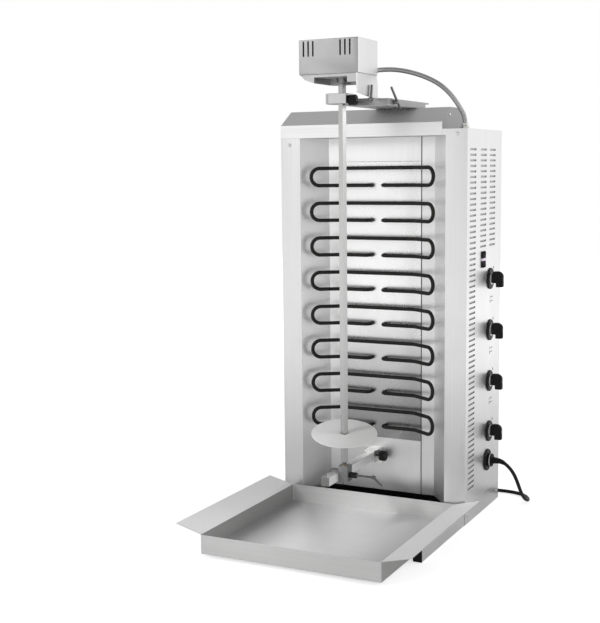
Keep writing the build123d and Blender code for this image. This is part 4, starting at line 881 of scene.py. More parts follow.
# Brushed finishes, by the values that brushed() takes. A share is of the setting's colour
BRUSHED = {
    "steel_upright": dict(colour="steel", grain=UP, rough=0.30),
    "steel_across": dict(colour="steel", grain=ACROSS, rough=0.30),
    "steel_deep": dict(colour="steel", grain=DEEP, rough=0.30),
    # Painted light: a lighter copy of the casing steel for the control box's side panel
    "side_steel": dict(colour="steel", share=1.09, grain=UP, rough=0.32),
    # Painted shade: the motor's pan is darkened as though in shadow
    "pan_steel": dict(colour="steel", share=0.62, grain=(3.0, 230.0, 230.0), rough=0.40),
    # Painted shade: a darker copy of the casing steel for the hood's faces other than its front
    "hood_steel": dict(
        colour="steel", share=0.76, grain=(2.6, 220.0, 220.0), rough=0.62, spread=0.04,
        bump=0.08, metal=0.3,
    ),
    # Painted shade: a still darker copy for the hood's right end
    "hood_end": dict(
        colour="steel", share=0.44, grain=(220.0, 2.6, 220.0), rough=0.46, spread=0.04, bump=0.08
    ),
    "cover_steel": dict(
        colour="steel", share=0.54, grain=(2.6, 220.0, 220.0), rough=0.40, spread=0.04, bump=0.08
    ),
    # Painted light: the motor cover's side faces get the full casing steel, lighter than the rest of the
    # cover
    "cover_side": dict(colour="steel", grain=(230.0, 230.0, 2.4), rough=0.34, spread=0.04, bump=0.08),
    "louvre_steel": dict(
        colour="steel", share=0.8, grain=(230.0, 2.4, 230.0), rough=0.55, bump=0.1, metal=0.5
    ),
    "holder_steel": dict(colour="steel", share=0.66, grain=(260.0, 260.0, 4.0), rough=0.34, bump=0.06),
    "tray_steel": dict(colour="tray", grain=(3.0, 260.0, 260.0), rough=0.46, bump=0.10, metal=0.42),
    # Painted shade: a darker copy of the tray steel for the tray's faces that look to the right
    "tray_flank": dict(
        colour="tray", share=0.60, grain=(260.0, 3.0, 260.0), rough=0.46, bump=0.10, metal=0.5
    ),
    # Painted light: a near-white, mostly diffuse copy for the tray's two wings
    "tray_wing": dict(
        colour=0.99, grain=(3.0, 260.0, 260.0), rough=0.5, spread=0.04, bump=0.08,
        contrast=0.05, metal=0.12,
    ),
    # Painted shade: the chamber's sheets darken towards the bottom
    "chamber_satin": dict(
        colour="chamber", grain=(240.0, 240.0, 2.0), rough=0.36, spread=0.04, bump=0.1,
        contrast=0.08, metal=0.8, low_shade=(0.04, 0.34, 0.58, 0.42),
    ),
    # Painted shade: the polished plate darkens towards the bottom
    "reflector_polish": dict(
        colour="reflector", grain=(90.0, 90.0, 1.2), rough=0.25, spread=0.0, bump=0.0,
        contrast=0.03, metal=0.9, low_shade=(0.17, 0.56, 0.10, 0.27),
    ),
    # Painted light: a near-white, mostly diffuse copy for the carriage's underside
    "plated_underside": dict(
        colour=0.92, grain=(3.0, 200.0, 200.0), rough=0.5, spread=0.04, bump=0.06,
        contrast=0.05, metal=0.1,
    ),
    # Painted light: a near-white copy for the lower arm's right side
    "arm_flank": dict(
        colour=0.98, grain=(900.0, 6.0, 900.0), rough=0.34, spread=0.04, bump=0.06,
        contrast=0.04, metal=0.15,
    ),
    # Painted shade: a dark copy for the lower arm's front end
    "arm_end": dict(colour=(0.30, 0.30, 0.295), grain=(700.0, 700.0, 40.0), rough=0.44, bump=0.08),
    "bright_drawn": dict(
        colour=(0.80, 0.80, 0.79), grain=(900.0, 6.0, 900.0), rough=0.30, spread=0.04,
        bump=0.06, contrast=0.06,
    ),
    "bright_turned": dict(colour=(0.78, 0.78, 0.77), grain=(200.0, 200.0, 260.0), rough=0.24, bump=0.06),
    "dark_turned": dict(colour=0.34, grain=(260.0, 260.0, 300.0), rough=0.34, spread=0.06, bump=0.08),
    "collar_silver": dict(
        colour=0.86, grain=(200.0, 3.0, 200.0), rough=0.38, bump=0.06, contrast=0.08, metal=0.8
    ),
    # Painted shade: the spit darkens towards the bottom
    "spit_steel": dict(
        colour=(0.62, 0.62, 0.615), grain=(320.0, 320.0, 3.0), rough=0.24, low_shade=(0.1, 0.8, 0.35, 0.34)
    ),
}

# Paint, plastic, rubber and plating, by the values that coated() takes
COATED = {
    "black_moulding": dict(colour="plastic", worn=0.05, rough=0.42, radius=0.0008, gloss=0.16),
    "black_gloss": dict(
        colour=(0.010, 0.008, 0.014), worn=0.03, rough=0.55, radius=0.0005, speckle=700.0,
        bump=0.05, gloss=0.05,
    ),
    "cord_rubber": dict(
        colour=0.012, worn=0.02, rough=0.50, radius=0.0004, speckle=900.0, bump=0.25, gloss=0.2
    ),
    "mark_ink": dict(
        colour=0.02, worn=0.04, rough=0.60, radius=0.0001, speckle=900.0, bump=0.1, gloss=0.1
    ),
    "joint_shadow": dict(colour=0.06, worn=0.10, rough=0.60, radius=0.0002, bump=0.1),
    "dark_cast": dict(
        colour=(0.20, 0.20, 0.205), worn=0.42, rough=0.46, radius=0.0010, metal=0.8,
        speckle=380.0, bump=0.3,
    ),
    "dark_screw": dict(
        colour=(0.16, 0.16, 0.165), worn=0.5, rough=0.34, radius=0.0006, metal=0.9,
        speckle=600.0, bump=0.12,
    ),
    "gear_paint": dict(
        colour=(0.30, 0.31, 0.32), worn=0.55, rough=0.45, radius=0.0010, speckle=300.0, bump=0.3
    ),
    "conduit_metal": dict(colour=0.30, worn=0.55, rough=0.34, radius=0.0006, metal=1.0, bump=0.1),
    "terminal_plastic": dict(
        colour=(0.78, 0.77, 0.72), worn=(0.86, 0.85, 0.80), rough=0.35, radius=0.0006, bump=0.08
    ),
    "pointer_white": dict(
        colour=(0.80, 0.80, 0.78), worn=(0.86, 0.86, 0.84), rough=0.45, radius=0.0002,
        speckle=800.0, bump=0.08,
    ),
    "switch_lens": dict(
        colour=(0.72, 0.66, 0.84), worn=(0.80, 0.75, 0.90), rough=0.22, radius=0.0003,
        speckle=600.0, bump=0.05,
    ),
    "bronze_sinter": dict(
        colour=(0.30, 0.25, 0.18), worn=(0.46, 0.40, 0.31), rough=0.46, radius=0.0005,
        metal=1.0, speckle=700.0, bump=0.25,
    ),
    "zinc_plate": dict(
        colour=(0.60, 0.60, 0.58), worn=(0.78, 0.78, 0.76), rough=0.30, radius=0.0005,
        metal=1.0, speckle=420.0,
    ),
}
OWN_FINISHES = {"tray_floor": tray_floor, "disc_steel": disc_steel, "element_sheath": element_sheath}


def joint_place(child):
    """A point on the axis of the joint that moves a body."""
    return next(joint["pos_m"] for joint in frame["joints"] if joint["child"] == child)


def material(name):
    """The named finish, built the first time it is asked for."""
    made = bpy.data.materials.get(name)
    if made:
        return made
    if name in BRUSHED:
        return brushed(name, **BRUSHED[name])
    if name in COATED:
        return coated(name, **COATED[name])
    return OWN_FINISHES[name]()


class GrillSettings(bpy.types.PropertyGroup):
    """Sizes and colours of the grill's looks."""

    steel: FloatVectorProperty(
        name="Casing steel", description="Colour of the casing sheets",
        default=(0.79, 0.79, 0.79), subtype="COLOR",
    )
    tray: FloatVectorProperty(
        name="Tray steel", description="Colour of the drip tray",
        default=(0.82, 0.82, 0.815), subtype="COLOR",
    )
    chamber: FloatVectorProperty(
        name="Chamber steel", description="Colour of the chamber's sheets",
        default=(0.97, 0.97, 0.97), subtype="COLOR",
    )
    reflector: FloatVectorProperty(
        name="Reflector", description="Colour of the polished plate",
        default=(0.96, 0.96, 0.96), subtype="COLOR",
    )
    plastic: FloatVectorProperty(
        name="Black plastic", description="Colour of the moulded pieces",
        default=(0.010, 0.010, 0.010), subtype="COLOR",
    )
    fold_round: FloatProperty(
        name="Fold radius", description="Outer radius of the sheet folds", default=0.0016, unit="LENGTH"
    )
    pointer_width: FloatProperty(
        name="Pointer width", description="Width of the line on each knob", default=0.0016, unit="LENGTH"
    )
    number_height: FloatProperty(
        name="Number height", description="Height of the numbers beside the knobs",
        default=0.0062, unit="LENGTH",
    )
    recess_width: FloatProperty(
        name="Recess width", description="Width of the cross recess in the screws",
        default=0.0011, unit="LENGTH",
    )
    rib_pitch: FloatProperty(
        name="Conduit rib pitch", description="Distance between the conduit's ribs",
        default=0.0026, unit="LENGTH",
    )
    rib_depth: FloatProperty(
        name="Conduit rib depth", description="Depth of the conduit's ribs", default=0.0004, unit="LENGTH"
    )
    thread_pitch: FloatProperty(
        name="Thread pitch", description="Distance between a clamp screw's threads",
        default=0.0013, unit="LENGTH",
    )
    hub_flutes: IntProperty(name="Hub flutes", description="Grooves round a clamp hub", default=12, min=6)
    floor_glow: FloatProperty(
        name="Floor glow", description="Light the floor adds where it is seen", default=0.62
    )
    floor_size: FloatProperty(
        name="Floor size", description="Side of the studio floor", default=14.0, unit="LENGTH"
    )


class GRILL_OT_camera(bpy.types.Operator):
    """Adds the camera at the photograph's viewpoint"""

    bl_idname = "grill.camera"
    bl_label = "Camera"

    def execute(self, context):
        yaw, pitch, roll = (radians(a) for a in (CAMERA_YAW, CAMERA_PITCH, CAMERA_ROLL))
        forward = Vector((-sin(yaw) * cos(pitch), cos(yaw) * cos(pitch), -sin(pitch)))
        level = Vector((cos(yaw), sin(yaw), 0.0))
        upright = level.cross(forward)
        right = level * cos(roll) + upright * sin(roll)
        up = upright * cos(roll) - level * sin(roll)
        bpy.ops.object.camera_add(location=CAMERA_PLACE)
        camera = context.object
        camera.name = "photo_camera"
        turn = Matrix((right, up, -forward)).transposed().to_4x4()
        camera.matrix_world = Matrix.Translation(CAMERA_PLACE) @ turn
        camera.data.sensor_width = SENSOR_MM
        camera.data.lens = FOCAL_PIXELS / max(PHOTO_W, PHOTO_H) * SENSOR_MM
        camera.data.clip_start = 0.05
        context.scene.camera = camera
        return {"FINISHED"}


class GRILL_OT_cord(bpy.types.Operator):
    """Lays the supply cord with its coil, strain relief and plug"""

    bl_idname = "grill.cord"
    bl_label = "Supply cord"

    def execute(self, context):
        line = smooth_line("supply_cord", CORD_ROUTE + self.coil(), 6)
        line.data.bevel_depth = CORD_RADIUS
        line.data.bevel_resolution = 5
        line.data.use_fill_caps = True
        line.data.materials.append(material("cord_rubber"))
        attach(line, "base")
        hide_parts("power_cord", "cord_coil")
        relief = self.relief()
        plug = self.plug()
        pins = self.pins()
        return {"FINISHED"}

    def coil(self):
        """The put-away turns: in on the lower layer, up in the middle's half turn, out on the upper.

        The control points lie a little further out than the cord, which cuts their corners.
        """
        points = []
        for i in range(COIL_STEPS * COIL_TURNS + 1):
            turn = i / COIL_STEPS
            inward = turn if turn <= COIL_TURNS / 2 else COIL_TURNS - turn
            radius = (COIL_OUTER - COIL_PITCH * inward) / cos(pi / COIL_STEPS / COIL_SPREAD)
            climb = min(max(turn - COIL_TURNS / 2 + 0.25, 0.0), 0.5) * 2
            angle = -pi / 2 - 2 * pi * turn
            x = COIL_CENTRE[0] + radius * cos(angle)
            y = COIL_CENTRE[1] + radius * sin(angle)
            points.append((x, y, COIL_LOW + (COIL_HIGH - COIL_LOW) * climb))
        end_x, end_y, end_z = points[-1]
        points.append((end_x - COIL_LEAD / 2, end_y, end_z))
        points.append((end_x - COIL_LEAD, end_y, end_z))
        return points

    def relief(self):
        """Tapered sleeve with ribs over the cord's first stretch."""
        start = Vector((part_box("strain_relief")[0].x, CORD_ROUTE[0][1], CORD_ROUTE[0][2]))
        line = even_steps([start] + curve_points(CORD_ROUTE), RELIEF_STEP)
        points = [p for p in line if (p - start).length < RELIEF_LENGTH]
        radii = []
        for i in range(len(points)):
            along = i * RELIEF_STEP
            groove = 0.0011 if along > 0.004 and (along % 0.0035) < 0.0012 else 0.0
            radii.append(0.0084 - 0.0030 * along / RELIEF_LENGTH - groove)
        radii[-1] = CORD_RADIUS + 0.0004
        sleeve = ringed_tube("cord_relief", points, radii, 32)
        smooth_flats(sleeve, 40)
        dress(sleeve, "base", "cord_rubber", ["strain_relief"])
        return sleeve

    def plug(self):
        """Moulded plug body with a rounded grip, finger ribs and a neck."""
        low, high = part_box("power_plug")
        y, z = CORD_ROUTE[-1][1], COIL_HIGH
        neck_x = COIL_CENTRE[0] - COIL_LEAD
        face_x = low.x + 0.019
        body = block_at("plug_body", (face_x, low.y, 0.0004), (neck_x - 0.015, high.y, 2 * z - 0.0004))
        bevel_edges(body, lambda middle, way: abs(way.x) > 0.9, 0.009, 7)
        start_edit(body)
        pick_faces(body, lambda centre, normal: normal.x > 0.9)
        bpy.ops.mesh.extrude_region_move(TRANSFORM_OT_translate={"value": (0.004, 0.0, 0.0)})
        bpy.ops.transform.resize(value=(1.0, 0.72, 0.72), center_override=(neck_x, y, z))
        end_edit()
        round_edges(body, 0.0014, 3)
        ribs = []
        for k in range(4):
            x = face_x + 0.012 + k * 0.0045
            corner = (x + 0.002, high.y + 0.0004, z + 0.007)
            ribs.append(block_at("rib", (x, low.y - 0.0004, z - 0.007), corner))
        grip = joined("plug_ribs", ribs)
        round_edges(grip, 0.0006, 2)
        outline = [(0.0, -0.012), (0.0098, -0.012)]
        for k in range(5):
            radius, along = 0.0098 - k * 0.0009, -0.010 + k * 0.0034
            outline += [(radius, along), (radius - 0.0012, along + 0.0010)]
        outline += [(0.0052, 0.0045), (0.0, 0.0045)]
        neck = turned("plug_neck", outline, (neck_x - 0.005, y, z), 32)
        round_edges(neck, 0.0002, 1)
        whole = joined("supply_plug", [body, grip, neck])
        dress(whole, "base", "black_moulding", ["power_plug"])
        return whole

    def pins(self):
        """Two round pins with rounded tips."""
        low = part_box("power_plug")[0]
        y, z = CORD_ROUTE[-1][1], COIL_HIGH
        tip = [(0.0, 0.0), (0.0011, 0.0001), (0.0020, 0.0007), (0.0024, 0.0018)]
        outline = tip + [(0.0024, 0.0200), (0.0, 0.0200)]
        pair = [turned("pin", outline, (low.x, y + side * PIN_APART / 2, z), 24) for side in (-1, 1)]
        pins = joined("supply_plug_pins", pair)
        smooth_flats(pins, 40)
        dress(pins, "base", "bright_turned")
        return pins


class GRILL_OT_stage(bpy.types.Operator):
    """Adds the floor, the pale surroundings and the studio lamps"""

    bl_idname = "grill.stage"
    bl_label = "Stage"

    def execute(self, context):
        bpy.ops.mesh.primitive_plane_add(size=look().floor_size, location=(0.0, 0.0, -0.0003))
        floor = context.object
        floor.name = "studio_floor"
        floor.data.materials.append(self.floor_finish())
        self.surroundings(context)
        self.lamp("key_lamp", (-1.6, -2.8, 2.2), (0.0, 0.0, 0.6), 1.8, 22.0)
        self.spot("tray_lamp", (-1.3, -1.9, 1.5), (0.0, -0.21, 0.05), 12.5, 70.0)
        self.lamp("side_lamp", (2.6, 0.8, 1.7), (0.1, 0.0, 0.5), 1.6, 14.0)
        self.lamp("top_lamp", (0.2, 0.2, 3.0), (0.0, 0.0, 0.4), 2.4, 8.0)
        context.scene.view_settings.view_transform = "Standard"
        return {"FINISHED"}

    def floor_finish(self):
        """White where the camera looks past the object, greyer in its mirrors, and painted nearly black
        under the casing as a painted shadow.
        """
        made = bpy.data.materials.new("studio_floor_paint")
        made.use_nodes = True
        tree = made.node_tree
        tree.nodes.clear()
        output = tree.nodes.new("ShaderNodeOutputMaterial")
        paint = tree.nodes.new("ShaderNodeBsdfDiffuse")
        glow = tree.nodes.new("ShaderNodeEmission")
        path = tree.nodes.new("ShaderNodeLightPath")
        open_floor = self.clear_of(tree, (0.215, 0.135), 0.98, 1.10)
        # Painted shadow: the floor's paint is nearly black under the casing
        outside = self.clear_of(tree, (0.205, 0.120), 0.90, 1.0)
        tree.links.new(mixed(tree, outside, (0.02, 0.02, 0.02), (0.80, 0.80, 0.80)), paint.inputs["Color"])
        white = self.by_distance(tree, 1.0, 3.0, look().floor_glow, 1.0)
        direct = computed(tree, "MULTIPLY", path.outputs["Is Camera Ray"], white)
        glossy, through = path.outputs["Is Glossy Ray"], path.outputs["Is Transmission Ray"]
        mirrored = computed(tree, "MAXIMUM", glossy, through)
        near = computed(tree, "MULTIPLY", mirrored, self.by_distance(tree, 0.5, 3.2, 0.08, 0.80))
        both_glows = computed(tree, "MAXIMUM", direct, near)
        tree.links.new(computed(tree, "MULTIPLY", both_glows, open_floor), glow.inputs["Strength"])
        both = tree.nodes.new("ShaderNodeAddShader")
        tree.links.new(paint.outputs[0], both.inputs[0])
        tree.links.new(glow.outputs[0], both.inputs[1])
        tree.links.new(both.outputs[0], output.inputs["Surface"])
        return made

    def clear_of(self, tree, half_sizes, start, end):
        """Nought in a rectangle under the casing and one outside it, in shares of its half sizes."""
        half_x, half_y = half_sizes
        middle_y = (BODY_LOW.y + BODY_HIGH.y) / 2
        place = stretched(tree, (1 / half_x, 1 / half_y, 0.0), location=(0.0, -middle_y / half_y, 0.0))
        parts = parts_of(tree, place)
        wide = computed(tree, "ABSOLUTE", parts["X"])
        long = computed(tree, "ABSOLUTE", parts["Y"])
        return ranged(tree, computed(tree, "MAXIMUM", wide, long), start, end, 0.0, 1.0, smooth=True)

    def by_distance(self, tree, near, far, near_tone, far_tone):
        """A value that changes with the distance from the object."""
        away = measured(tree, "LENGTH", stretched(tree, (1.0, 1.0, 0.0)))
        return ranged(tree, away, near, far, near_tone, far_tone, smooth=True)

    def surroundings(self, context):
        """White near the horizon, greyer overhead, on the right and low in front, as in a studio tent."""
        world = bpy.data.worlds.new("studio")
        context.scene.world = world
        world.use_nodes = True
        tree = world.node_tree
        tree.nodes.clear()
        output = tree.nodes.new("ShaderNodeOutputWorld")
        back = tree.nodes.new("ShaderNodeBackground")
        back.inputs["Color"].default_value = (1.0, 1.0, 1.0, 1.0)
        way = tree.nodes.new("ShaderNodeTexCoord").outputs["Generated"]
        height = parts_of(tree, way)["Z"]
        overhead = ranged(tree, height, 0.22, 0.85, 1.0, 0.30, smooth=True)
        toward_right = measured(tree, "DOT_PRODUCT", way, (0.97, -0.24, 0.0))
        right = ranged(tree, toward_right, 0.70, 0.98, 1.0, 0.60, smooth=True)
        toward_front = measured(tree, "DOT_PRODUCT", way, (-0.37, -0.93, 0.0))
        before = ranged(tree, toward_front, 0.35, 0.80, 0.0, 1.0, smooth=True)
        fall = ranged(tree, height, 0.03, 0.10, 0.0, 0.52, smooth=True)
        front = computed(tree, "SUBTRACT", 1.0, computed(tree, "MULTIPLY", before, fall))
        sides = computed(tree, "MULTIPLY", front, right)
        tone = computed(tree, "MULTIPLY", overhead, sides)
        path = tree.nodes.new("ShaderNodeLightPath")
        shown = computed(tree, "MAXIMUM", tone, path.outputs["Is Camera Ray"])
        tree.links.new(shown, back.inputs["Strength"])
        tree.links.new(back.outputs[0], output.inputs["Surface"])

    def lamp(self, name, place, target, size, power):
        bpy.ops.object.light_add(type="AREA", location=place)
        lamp = bpy.context.object
        lamp.name = name
        lamp.data.shape = "DISK"
        lamp.data.size = size
        lamp.data.energy = power
        aim = (Vector(target) - Vector(place)).to_track_quat("-Z", "Y")
        lamp.rotation_euler = aim.to_euler()
        return lamp

    def spot(self, name, place, target, angle, power):
        """A narrow lamp with soft edges. A lamp's data is looked up again once its kind has changed."""
        lamp = self.lamp(name, place, target, 0.3, power)
        lamp.data.type = "SPOT"
        data = bpy.data.objects[name].data
        data.energy = power
        data.spot_size = radians(angle)
        data.spot_blend = 1.0
        data.shadow_soft_size = 0.10


class GRILL_OT_sheets(bpy.types.Operator):
    """Gives the folded sheet pieces their fold radii, soft cut edges and brushed finishes"""

    bl_idname = "grill.sheets"
    bl_label = "Sheet metal"

    def execute(self, context):
        for node, body, finish, width in SHEETS:
            piece = frame_copy(node, "sheet_" + node)
            self.round_folds(piece, node)
            round_edges(piece, width)
            dress(piece, body, finish, [node])
            refinish(piece, node)
        return {"FINISHED"}

    def round_folds(self, piece, node):
        """Rounds the outer corner of each long fold."""
        if node not in FOLDS:
            return
        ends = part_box(node)

        def on_fold(middle, way):
            for fold in FOLDS[node]:
                off = [abs(middle[k] - ends[end][k]) for k, end in enumerate(fold) if end is not None]
                if max(off) < 0.00002 and abs(way[fold.index(None)]) > 0.99:
                    return True
            return False

        bevel_edges(piece, on_fold, look().fold_round * FOLD_SHARE, 4)


class GRILL_OT_louvres(bpy.types.Operator):
    """Models the bent flap behind one vent slot and copies it to every slot of the side panel"""

    bl_idname = "grill.louvres"
    bl_label = "Louvres"

    def execute(self, context):
        inner = SIDE_X - SHEET
        reach = SLOT_LENGTH / 2 + 0.009
        foot = (inner - 0.0005, -reach, -SLOT_WIDTH * 1.1)
        flap = block_at("flap", foot, (inner - 0.00002, reach, 0.0004))
        start_edit(flap)
        pick_faces(flap, lambda centre, normal: normal.z < -0.9)
        bpy.ops.transform.translate(value=(-0.0018, 0.0, 0.0))
        end_edit()
        round_edges(flap, 0.0001, 1)
        flaps = []
        for y, count in SLOT_COLUMNS:
            for k in range(count):
                z = SLOT_TOP - k * SLOT_PITCH + SLOT_WIDTH / 2
                flaps.append(copied(flap, "side_flap", Matrix.Translation((0.0, y, z))))
        bpy.data.objects.remove(flap)
        whole = joined("side_louvres", flaps)
        dress(whole, "base", "louvre_steel")
        return {"FINISHED"}


class GRILL_OT_joints(bpy.types.Operator):
    """Draws the dark joint lines at the two sides and the top of the chamber's polished plate: dark strips
    that paint the shadow in the gaps
    """

    bl_idname = "grill.joints"
    bl_label = "Joint lines"

    def execute(self, context):
        low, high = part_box("reflector_plate")
        chamber_low, chamber_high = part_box("chamber_lining")
        back = high.y
        lines = [
            ((high.x + 0.0001, back - 0.0004, chamber_low.z), (high.x + 0.0021, back, chamber_high.z)),
            ((low.x - 0.0013, back - 0.0004, chamber_low.z), (low.x - 0.0001, back, chamber_high.z)),
            ((low.x, back - 0.0002, high.z), (high.x, back, high.z + 0.0006)),
        ]
        strips = []
        for start, end in lines:
            strip = block_at("joint", start, end)
            round_edges(strip, 0.00008, 1)
            strips.append(strip)
        whole = joined("chamber_joints", strips)
        dress(whole, "base", "joint_shadow")
        return {"FINISHED"}


class GRILL_OT_blocks(bpy.types.Operator):
    """Softens the edges of the solid metal and plastic pieces and gives them their finishes"""

    bl_idname = "grill.blocks"
    bl_label = "Blocks and bars"

    def execute(self, context):
        for node, body, finish, width in BLOCKS:
            piece = frame_copy(node, "solid_" + node)
            round_edges(piece, width, 3)
            dress(piece, body, finish, [node])
            refinish(piece, node)
        for node, finish in KEPT:
            self.finish_node(node, finish)
        return {"FINISHED"}

    def finish_node(self, node, finish):
        kept = NODES[node]
        if not kept.material_slots:
            kept.data.materials.append(material(finish))
        for slot in kept.material_slots:
            slot.material = material(finish)


class GRILL_OT_elements(bpy.types.Operator):
    """Gives the heating elements their heat-darkened sheath"""

    bl_idname = "grill.elements"
    bl_label = "Heating elements"

    def execute(self, context):
        for name in ELEMENT_NAMES:
            for slot in NODES[name].material_slots:
                slot.material = material("element_sheath")
        return {"FINISHED"}


class GRILL_OT_knobs(bpy.types.Operator):
    """Models one control knob and copies it to each switch"""

    bl_idname = "grill.knobs"
    bl_label = "Knobs"

    def execute(self, context):
        low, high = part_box(KNOB_NAMES[0])
        centre = Vector((SIDE_X + 0.0005, (low.y + high.y) / 2, (low.z + high.z) / 2))
        models = (
            (self.knob(centre, high), "_moulding", "black_plastic", "black_moulding"),
            (self.pointer(centre, high), "_pointer", "light_plastic", "pointer_white"),
            (self.collar(centre), "_collar", "light_plastic", "collar_silver"),
        )
        for name in KNOB_NAMES:
            here_low, here_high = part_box(name)
            shift = Matrix.Translation((0.0, 0.0, (here_low.z + here_high.z) / 2 - centre.z))
            for model, ending, slot, finish in models:
                stands_for = [name] if ending == "_moulding" else ()
                dress(copied(model, name + ending, shift), name, finish, stands_for)
        for entry in models:
            bpy.data.objects.remove(entry[0])
        return {"FINISHED"}

    def knob(self, centre, high):
        """Skirt with a rounded rim, and a hooked bar grip with round shoulders."""
        radius = high.y - centre.y
        edge = [(0.0006, 0.0), (0.0, 0.0006), (0.0, 0.0018)]
        shoulder = [(0.0005, 0.0026), (0.0016, 0.0030), (0.0050, 0.0032)]
        rim = [(radius - inward, along) for inward, along in edge + shoulder]
        outline = [(0.0, 0.0), *rim, (0.0, 0.0030)]
        skirt = turned("knob_skirt", outline, centre, 64, smooth=28)
        inner, hook, outer = centre.x + 0.0046, centre.x + 0.0146, high.x
        top, waist, foot = centre.z + 0.0172, centre.z - 0.0105, centre.z - 0.0200
        outline = [(inner, waist), (hook, waist), (hook, foot), (outer, foot), (outer, top), (inner, top)]
        grip = profiled("knob_grip", outline, centre.y - GRIP_WIDTH / 2, centre.y + GRIP_WIDTH / 2)
        corners = (
            (outer, top, 0.0125, 9),
            (inner, top, 0.0080, 6),
            (outer, foot, 0.0030, 4),
            (hook, foot, 0.0016, 3),
            (hook, waist, 0.0016, 3),
        )
        for x, z, radius, segments in corners:
            def at_corner(middle, way):
                return abs(middle.x - x) < 0.0001 and abs(middle.z - z) < 0.0001

            bevel_edges(grip, at_corner, radius, segments)
        round_edges(grip, 0.0017, 3)
        return joined("knob_model", [skirt, grip])

    def collar(self, centre):
        """Silver collar between the skirt and the grip."""
        rim = [(0.0138, 0.0028), (0.0140, 0.0032), (0.0140, 0.0041), (0.0136, 0.0046), (0.0110, 0.0050)]
        return turned("knob_collar", [(0.0, 0.0028), *rim, (0.0, 0.0054)], centre, 64, smooth=28)

    def pointer(self, centre, high):
        """Line let into the grip's outer end, round the knob's middle."""
        half = look().pointer_width / 2
        line = block_at(
            "knob_line",
            (high.x - 0.0008, centre.y - half, centre.z - 0.0046),
            (high.x + 0.0001, centre.y + half, centre.z + 0.0046),
        )
        round_edges(line, 0.0001, 1)
        return line


class GRILL_OT_marks(bpy.types.Operator):
    """Prints plain numbers and ticks beside the knobs"""

    bl_idname = "grill.marks"
    bl_label = "Dial marks"

    def execute(self, context):
        height = look().number_height
        for count, name in enumerate(KNOB_NAMES, 1):
            low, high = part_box(name)
            y, z = (low.y + high.y) / 2, (low.z + high.z) / 2
            pieces = [self.number("0", y + 0.026, z + 0.0215, height)]
            if count < len(KNOB_NAMES):
                for row in (1, 2):
                    level = z - MARK_DROP - (row - 1) * MARK_PITCH
                    pieces.append(self.number(str(row), y + 0.002, level - height / 2, height))
                    pieces.append(self.dash(y + 0.014, level))
            for angle in (45, 90, 135, 225, 270):
                pieces.append(self.tick(y, z, radians(angle)))
            marks = joined(f"dial_marks_{count}", pieces)
            dress(marks, "base", "mark_ink")
        return {"FINISHED"}

    def number(self, text, y, z, height):
        bpy.ops.object.text_add(location=(SIDE_X + 0.00005, y, z), rotation=(pi / 2, 0.0, pi / 2))
        letter = bpy.context.object
        letter.data.body = text
        letter.data.size = height * 1.35
        letter.data.offset = 0.0005
        letter.data.align_x = "CENTER"
        letter.data.extrude = 0.00004
        bpy.ops.object.convert(target="MESH")
        letter = bpy.context.object
        apply_place(letter)
        return letter

    def bar(self, name, low_y, low_z, high_y, high_z):
        """A flat printed bar on the side panel."""
        bar = block_at(name, (SIDE_X, low_y, low_z), (SIDE_X + PRINT_THICK, high_y, high_z))
        round_edges(bar, 0.00002, 1)
        return bar

    def dash(self, y, z):
        return self.bar("dash", y - 0.0070, z - 0.0008, y + 0.0070, z + 0.0008)

    def tick(self, y, z, angle):
        bar = self.bar("tick", y - 0.0006, z + 0.0262, y + 0.0006, z + 0.0290)
        middle = Vector((SIDE_X, y, z))
        turn = Matrix.Translation(middle) @ Matrix.Rotation(angle, 4, "X") @ Matrix.Translation(-middle)
        bar.data.transform(turn)
        return bar


class GRILL_OT_rocker(bpy.types.Operator):
    """Models the motor switch: box, tipping button and lens band"""

    bl_idname = "grill.rocker"
    bl_label = "Rocker switch"

    def execute(self, context):
        low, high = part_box("rocker_frame")
        button_low, button_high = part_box("rocker_button")
        self.bezel(low, high)
        button = frame_copy("rocker_button", "rocker_moulding")
        bevel_edges(button, lambda middle, way: abs(way.y) > 0.9 and middle.x > SIDE_X, 0.0016, 5)
        round_edges(button, 0.0004, 2)
        dress(button, "rocker", "black_gloss", ["rocker_button"])
        middle_z = (button_low.z + button_high.z) / 2
        lens = block_at(
            "rocker_lens",
            (button_high.x - 0.0032, button_low.y + 0.0004, middle_z - 0.0031),
            (button_high.x - 0.0004, button_high.y - 0.0004, middle_z + 0.0031),
        )
        round_edges(lens, 0.0004, 3)
        dress(lens, "rocker", "switch_lens")
        bands = []
        left = (low.y - 0.0002, button_low.y - 0.0004)
        right = (button_high.y + 0.0004, high.y + 0.0002)
        for start, end in (left, right):
            corner = (high.x + 0.0003, end, middle_z + 0.0028)
            band = block_at("rocker_band", (SIDE_X, start, middle_z - 0.0028), corner)
            round_edges(band, 0.0003, 2)
            bands.append(band)
        dress(joined("rocker_bands", bands), "base", "switch_lens")
        return {"FINISHED"}

    def bezel(self, low, high):
        """Box round the button's well, open at its outer end."""
        back = (SIDE_X - 0.023, low.y + BEZEL_RIM, low.z + BEZEL_RIM)
        rim = block_at("rocker_bezel", back, (high.x, high.y - BEZEL_RIM, high.z - BEZEL_RIM))
        sink_end(rim, 0.0012, 0.013)
        round_edges(rim, 0.0003, 2)
        dress(rim, "base", "black_moulding", ["rocker_frame"])


